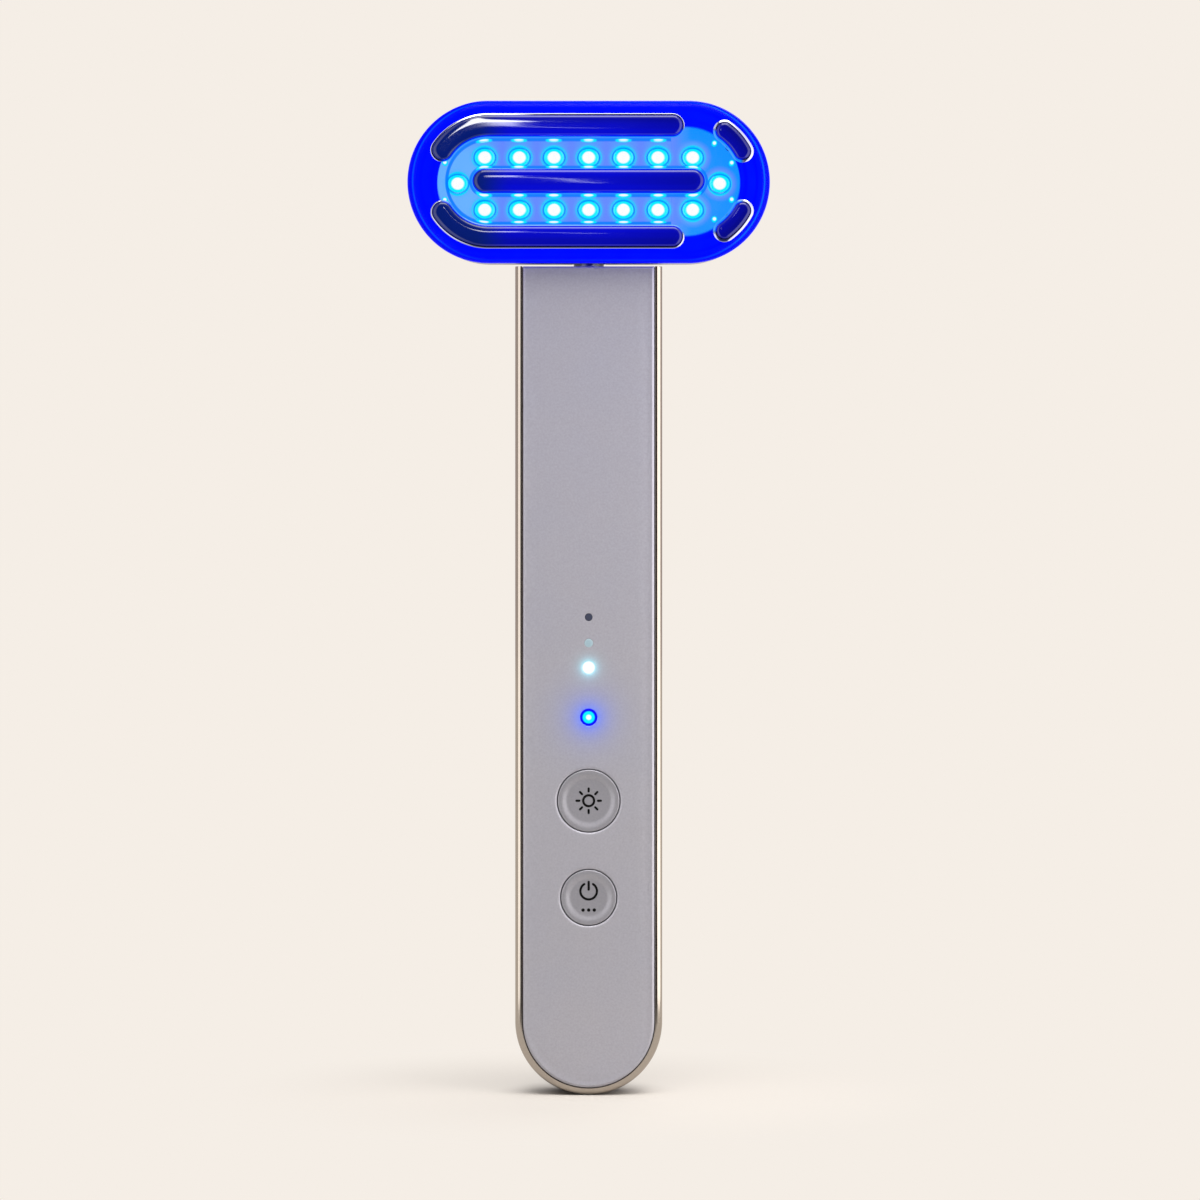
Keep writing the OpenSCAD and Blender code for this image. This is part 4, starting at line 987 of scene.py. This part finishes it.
# %% Sixteen lights
LIGHTS = [(i * LIGHT_PITCH, side * LIGHT_ROW) for i in range(-3, 4) for side in (1, -1)]
LIGHTS += [(-END_LIGHT, 0), (END_LIGHT, 0)]
FLATNESS = 0.55
LIGHT_STEPS = 40
dome = arc((0, 0), 1.0, -90, -20, 12)[:, :2] * [1, FLATNESS] + [0, -3.35]
light_section = profile(dome, [[1.08, -3.33], [1.2, -3.3], [1.35, -3.34], [1.5, -3.4], [1.6, -3.42],
                               [1.72, -3.42], [1.72, -3.1], [1.6, -3.0], [1.6, -2.7], [0, -2.7]])
lamps = [turned(px, HEAD_Z + pz, light_section, LIGHT_STEPS) for px, pz in LIGHTS]
turn = np.radians(np.arange(LIGHT_STEPS) * 360 / LIGHT_STEPS)[:, None]
wide = 1 - 0.14 * np.cos(turn) ** 2 * np.clip((light_section[:, 0] - 0.8) / 0.4, 0, 1)
spread = np.tile((light_section[:, 0] * wide * 1.06).ravel(), len(LIGHTS))
lights = make("treatment_lights", joined(*lamps), {"radius": spread})
finish(lights, EPOXY, "head", "led", "treatment_leds", sharp=50)

# %% [markdown]
# ## Reflector: white polycarbonate under blue light
# The plate behind the cover is white, and what the eye gets is the light it throws back, painted
# on it as a glow over a dark blue base: violet between two lights of a row, cyan close to each
# one, pale at the left end and a deeper blue at the right. The painted light follows the distance
# to the nearest light, worked out from the row's pitch, and a millimetre sideways counts 0.93 in it.

# %% Distance to the nearest light
SIDEWAYS = 0.93
REFLECTOR, tree = material("lit white polycarbonate", "#0C1C60", 0.0, 0.5, Emission_Strength=0.98)
where, x, across, up = on_head(tree)
column = off_column(tree, across, ROW_END)
flat = add(tree, "Math", {0: column, 1: SIDEWAYS}, operation="MULTIPLY")
high = add(tree, "Math", {0: up}, operation="ABSOLUTE")
off_row = add(tree, "Math", {0: high, 1: LIGHT_ROW * MM}, operation="SUBTRACT")
in_row = apart(tree, flat, off_row)
at_end = apart(tree, across, up, (END_LIGHT, 0))
light_gap = add(tree, "Math", {0: in_row, 1: at_end}, operation="MINIMUM")
print("lights", LIGHT_PITCH, "mm apart in rows", 2 * LIGHT_ROW, "mm apart")

# %% Ends of the reflector
left_end = add(tree, "MapRange", {0: x, 1: -13 * MM, 2: -17 * MM})
right_end = add(tree, "MapRange", {0: x, 1: 12.5 * MM, 2: 15.5 * MM})
pale = add(tree, "MapRange", {0: at_end, 1: 8.5 * MM, 2: 4.5 * MM}, **SMOOTH)
pale = add(tree, "Math", {0: pale, 1: left_end}, operation="MULTIPLY")
deep = add(tree, "MapRange", {0: light_gap, 1: 1.9 * MM, 2: 2.9 * MM}, **SMOOTH)
deep = add(tree, "Math", {0: deep, 1: right_end}, operation="MULTIPLY")
print("pale end and deep end:", len(tree.nodes), "nodes so far")

# %% Painted light on the reflector
FROSTING = 0.5
violet = add(tree, "MapRange", {0: column, 1: 1.0 * MM, 2: 2.6 * MM}, **SMOOTH)
close = add(tree, "MapRange", {0: light_gap, 1: 2.4 * MM, 2: 1.8 * MM}, **SMOOTH)
close = add(tree, "Math", {0: close, 1: 0.45}, operation="MULTIPLY")
ring = band(tree, light_gap, 1.7, 1.86, 0.04)
drive(tree, "Emission Color", layered(tree, "#5E9EFF", (violet, "#668EFE"), (pale, "#6AB8FA"),
                                      (deep, "#0698FD"), (close, "#3CC0FF"), (ring, "#14D4FF")))
frosting = add(tree, "TexNoise", {"Vector": where, "Scale": 1 / (FROSTING * MM)})
drive(tree, "Roughness", add(tree, "MapRange", {0: frosting, 3: 0.45, 4: 0.6}))
print("lit white polycarbonate:", len(tree.nodes), "nodes")

# %% [markdown]
# ## What stays as the CAD made it
# The pieces inside keep their CAD shape and get the finish of the real part: glass filled nylon
# for the frame, turned and stamped steel for screws and pins, solder mask on the boards, sleeved
# leads and a foil pouch for the cell.

# %% Finishes of the inner pieces
# Label, metallic, grain size and height in mm, two shades, two roughnesses and the nodes.
INNER = (
    ("black glass filled nylon", 0.0, 0.25, 0.006, ("#17171A", "#242428"), (0.5, 0.72),
     "chassis top_cap light_switch mode_switch board_chips panel_tape"),
    ("natural acetal", 0.0, 0.6, 0.003, ("#D2CEC2", "#DEDACE"), (0.34, 0.48),
     "neck_bush lead_connector light_switch_plunger mode_switch_plunger"),
    ("green solder mask", 0.0, 1.2, 0.004, ("#124A31", "#1D5C40"), (0.24, 0.38), "main_board"),
    # The light board and the indicator lamps are white; their blue is painted light from the head's lamps.
    ("white solder mask", 0.0, 1.2, 0.003, ("#2C48A8", "#3858B8"), (0.3, 0.42),
     "light_board indicator_leds"),
    ("gold plated brass", 1.0, 0.4, 0.001, ("#C09A52", "#D1AD66"), (0.2, 0.32),
     "bezel_contact_spring electrode_contacts motor_weight"),
    ("black sleeve", 0.0, 0.3, 0.004, ("#161618", "#202023"), (0.42, 0.6), "handle_lead head_lead"),
    ("red silicone lead", 0.0, 0.3, 0.004, ("#9C261E", "#B03228"), (0.42, 0.58), "battery_leads"),
    ("aluminium foil pouch", 0.8, 2.0, 0.02, ("#AFB2B8", "#C4C7CC"), (0.28, 0.45), "battery_cell"),
)
KEPT = {
    REFLECTOR: "reflector_plate",
    STEEL: "chassis_screws board_screws neck_screws light_board_screws retaining_clip stop_pin "
           "neck_stem motor_can motor_shaft",
    SILICONE: "friction_ring motor_cradle battery_foam",
}
for *recipe, names in INNER:
    KEPT[grained(*recipe)] = names

# %% Finishes on the nodes
for made, names in KEPT.items():
    for name in names.split():
        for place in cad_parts[name].material_slots:
            place.link = "OBJECT"
            place.material = made
left = [name for name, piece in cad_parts.items() if not piece.hide_render]
print(len(left), "CAD nodes shown, all finished:", set(left) == set(" ".join(KEPT.values()).split()))

# %% [markdown]
# ## Table
# The wand stands on a plain pale table. Near it the table is a real surface that takes the
# shadow, and farther away it turns into the colour of the room, so no horizon shows. In
# reflections alone, a dark card lies on it in front of the wand, and beyond the card it is as
# dark as the room behind the camera. In a studio such a card keeps the lower flanks of a
# polished piece dark.


# %% Table paint
ROOM = "#F5EEE6"
DARK_ROOM = "#3E3C3B"


def cone(tree, way, axis, low, high, most=1.0):
    """0 to most, smoothly, as the dot product of a direction and an axis goes from low to high."""
    dot = add(tree, "VectorMath", {0: way, 1: axis}, out="Value", operation="DOT_PRODUCT")
    return add(tree, "MapRange", {0: dot, 1: low, 2: high, 4: most}, **SMOOTH)


TABLE = bpy.data.materials.new("matt table paint")
TABLE.use_nodes = True
tree = TABLE.node_tree
tree.nodes.clear()
where = add(tree, "TexCoord", out="Object")
away = add(tree, "VectorMath", {0: where}, out="Value", operation="LENGTH")
near = add(tree, "MapRange", {0: away, 1: 4 * MM, 2: 15 * MM, 4: 0.6}, **SMOOTH)
far_off = add(tree, "MapRange", {0: away, 1: 20 * MM, 2: 60 * MM, 4: 0.4}, **SMOOTH)
fade = add(tree, "Math", {0: near, 1: far_off}, operation="ADD")
card = add(tree, "VectorMath", {0: where, 1: (0, -270 * MM, 0)}, out="Value", operation="DISTANCE")
card = add(tree, "MapRange", {0: card, 1: 150 * MM, 2: 200 * MM, 3: 1.0, 4: 0.0})
from_head = add(tree, "VectorMath", {0: where, 1: (0, 0, HEAD_Z * MM)}, operation="SUBTRACT")
from_head = add(tree, "VectorMath", {0: from_head}, operation="NORMALIZE")
ahead = cone(tree, from_head, (0, -1, 0), 0.8, 0.95)
card = add(tree, "Math", {0: card, 1: ahead}, operation="MAXIMUM")
card = add(tree, "Math", {0: card, 1: add(tree, "LightPath", out="Is Glossy Ray")}, operation="MULTIPLY")
beyond = add(tree, "Mix", {0: card, 6: ROOM, 7: DARK_ROOM}, **COLOUR)
paper = add(tree, "BsdfDiffuse", {"Color": "#BEB8B1"})
far = add(tree, "Emission", {"Color": beyond, "Strength": 1.0})
mixed = add(tree, "MixShader", {0: fade, 1: paper, 2: far})
target = tree.nodes.new("ShaderNodeOutputMaterial")
tree.links.new(mixed, target.inputs["Surface"])
print("matt table paint:", len(tree.nodes), "nodes")

# %% Table top
rim_of_table = arc((0, 0), 4000, 0, 354, 59)[:, :2]
table = make("table_top", (np.insert(rim_of_table, 2, 0, axis=1), [list(range(60))]))
table.data.materials.append(TABLE)
print("table", round(table.dimensions.x, 2), "m across")

# %% [markdown]
# ## Camera and light
# The photograph looks straight at the front from about arm's length, at half the wand's height,
# so things that stand forward on the head look a little higher than what lies behind them. Two
# large soft boxes above the camera are the main light: they shade the panel under the head and
# lay a soft shadow at the foot. A third one behind keeps the back about as light as the front.
# Two boxes close to the sides draw the bright lines on the rim. Three small ones in front reach
# only the electrodes, by light linking, and draw the highlights on them. The room gives even
# light from all round. In reflections it is dark in front, where the camera stands, and above.

# %% Camera
CAMERA_AWAY = 600
SENSOR = 36
view = bpy.data.cameras.new("view")
view.sensor_width = SENSOR
view.lens = 118.35
camera = bpy.data.objects.new("view", view)
camera.location = (1.71 * MM, -CAMERA_AWAY * MM, 74.8 * MM)
camera.rotation_euler = (math.radians(90), 0, 0)
bpy.context.scene.collection.objects.link(camera)
bpy.context.scene.camera = camera
print(f"one millimetre is {view.lens / SENSOR * 1200 / CAMERA_AWAY:.3f} pixels of a 1200 pixel frame")


# %% Soft boxes
def soft_box(name, side, up, distance, width, height, radiance, tint="#FFFFFF", aim=0.08, roll=0):
    """An area lamp aimed at the wand at one height. Its watts are radiance * pi * its area.

    It stands this many degrees to the side and up, and its lengths are in metres.
    """
    lamp = bpy.data.lights.new(name, "AREA")
    lamp.shape = "RECTANGLE"
    lamp.size = width
    lamp.size_y = height
    lamp.energy = radiance * math.pi * width * height
    lamp.color = paint(tint)[:3]
    box = bpy.data.objects.new(name, lamp)
    a, e = math.radians(side), math.radians(up)
    box.location = (distance * math.sin(a) * math.cos(e), -distance * math.cos(a) * math.cos(e),
                    aim + distance * math.sin(e))
    turn = Matrix.Rotation(a, 3, "Z") @ Matrix.Rotation(math.radians(90) - e, 3, "X")
    box.rotation_euler = (turn @ Matrix.Rotation(math.radians(roll), 3, "Z")).to_euler()
    box.visible_camera = False
    bpy.context.scene.collection.objects.link(box)
    print(f"{name}: {lamp.energy:.2f} W")
    return box


WARM = "#FFFDFB"
# Degrees to the side and up, then distance, width, height and radiance.
soft_box("top box", 15, 72, 1.1, 0.79, 0.63, 6.5, WARM)
soft_box("front box", 10, 58, 1.0, 0.83, 0.6, 3.5, WARM)
soft_box("back box", 160, 42, 1.1, 0.8, 0.7, 3.2, WARM)
soft_box("right box", 60, 0, 0.12, 0.13, 0.3, 2.1, WARM, aim=0.152)
left_box = soft_box("left box", -45, 0, 0.12, 0.085, 0.3, 1.45, aim=0.152)
high = soft_box("high glint", -8, 23, 0.4, 0.03, 0.22, 30, aim=0.145, roll=15)
low = soft_box("low glint", -3.3, 8.5, 0.4, 0.008, 0.025, 16, aim=0.145)
thin = soft_box("thin glint", -1.35, 5.4, 0.4, 0.03, 0.0013, 14, aim=0.145, roll=-40)

# %% What the small boxes reach
for box in (left_box, high, low, thin):
    box.visible_diffuse = False
for box, nodes in ((high, ["electrode_upper"]), (low, STRIPS), (thin, STRIPS)):
    lit_pieces = bpy.data.collections.new(f"lit by the {box.name}")
    for node in nodes:
        lit_pieces.objects.link(bpy.data.objects[f"{node}_strip"])
    box.light_linking.receiver_collection = lit_pieces

# %% The room
EVEN_LIGHT = (0.27, 0.27, 0.285, 1)
world = bpy.data.worlds.new("studio")
world.use_nodes = True
bpy.context.scene.world = world
tree = world.node_tree
tree.nodes.clear()
way = add(tree, "TexCoord", out="Generated")
front = cone(tree, way, (0, -1, 0), 0.8, 0.95)
above = cone(tree, way, (0, 0, 1), 0.25, 0.55, 0.8)
dark = add(tree, "Math", {0: front, 1: above}, operation="MAXIMUM")
mirrored = add(tree, "Mix", {0: dark, 6: "#DCD2D0", 7: DARK_ROOM}, **COLOUR)
glossy = add(tree, "LightPath", out="Is Glossy Ray")
paths = glossy.node.outputs
soft = add(tree, "Mix", {0: glossy, 6: EVEN_LIGHT, 7: mirrored}, **COLOUR)
seen = add(tree, "Math", {0: paths["Is Camera Ray"], 1: paths["Is Transmission Ray"]}, operation="MAXIMUM")
sky = add(tree, "Mix", {0: seen, 6: soft, 7: ROOM}, **COLOUR)
target = tree.nodes.new("ShaderNodeOutputWorld")
tree.links.new(add(tree, "Background", {"Color": sky, "Strength": 1.0}), target.inputs["Surface"])
bpy.context.scene.view_settings.view_transform = "Standard"
print("world:", len(tree.nodes), "nodes")
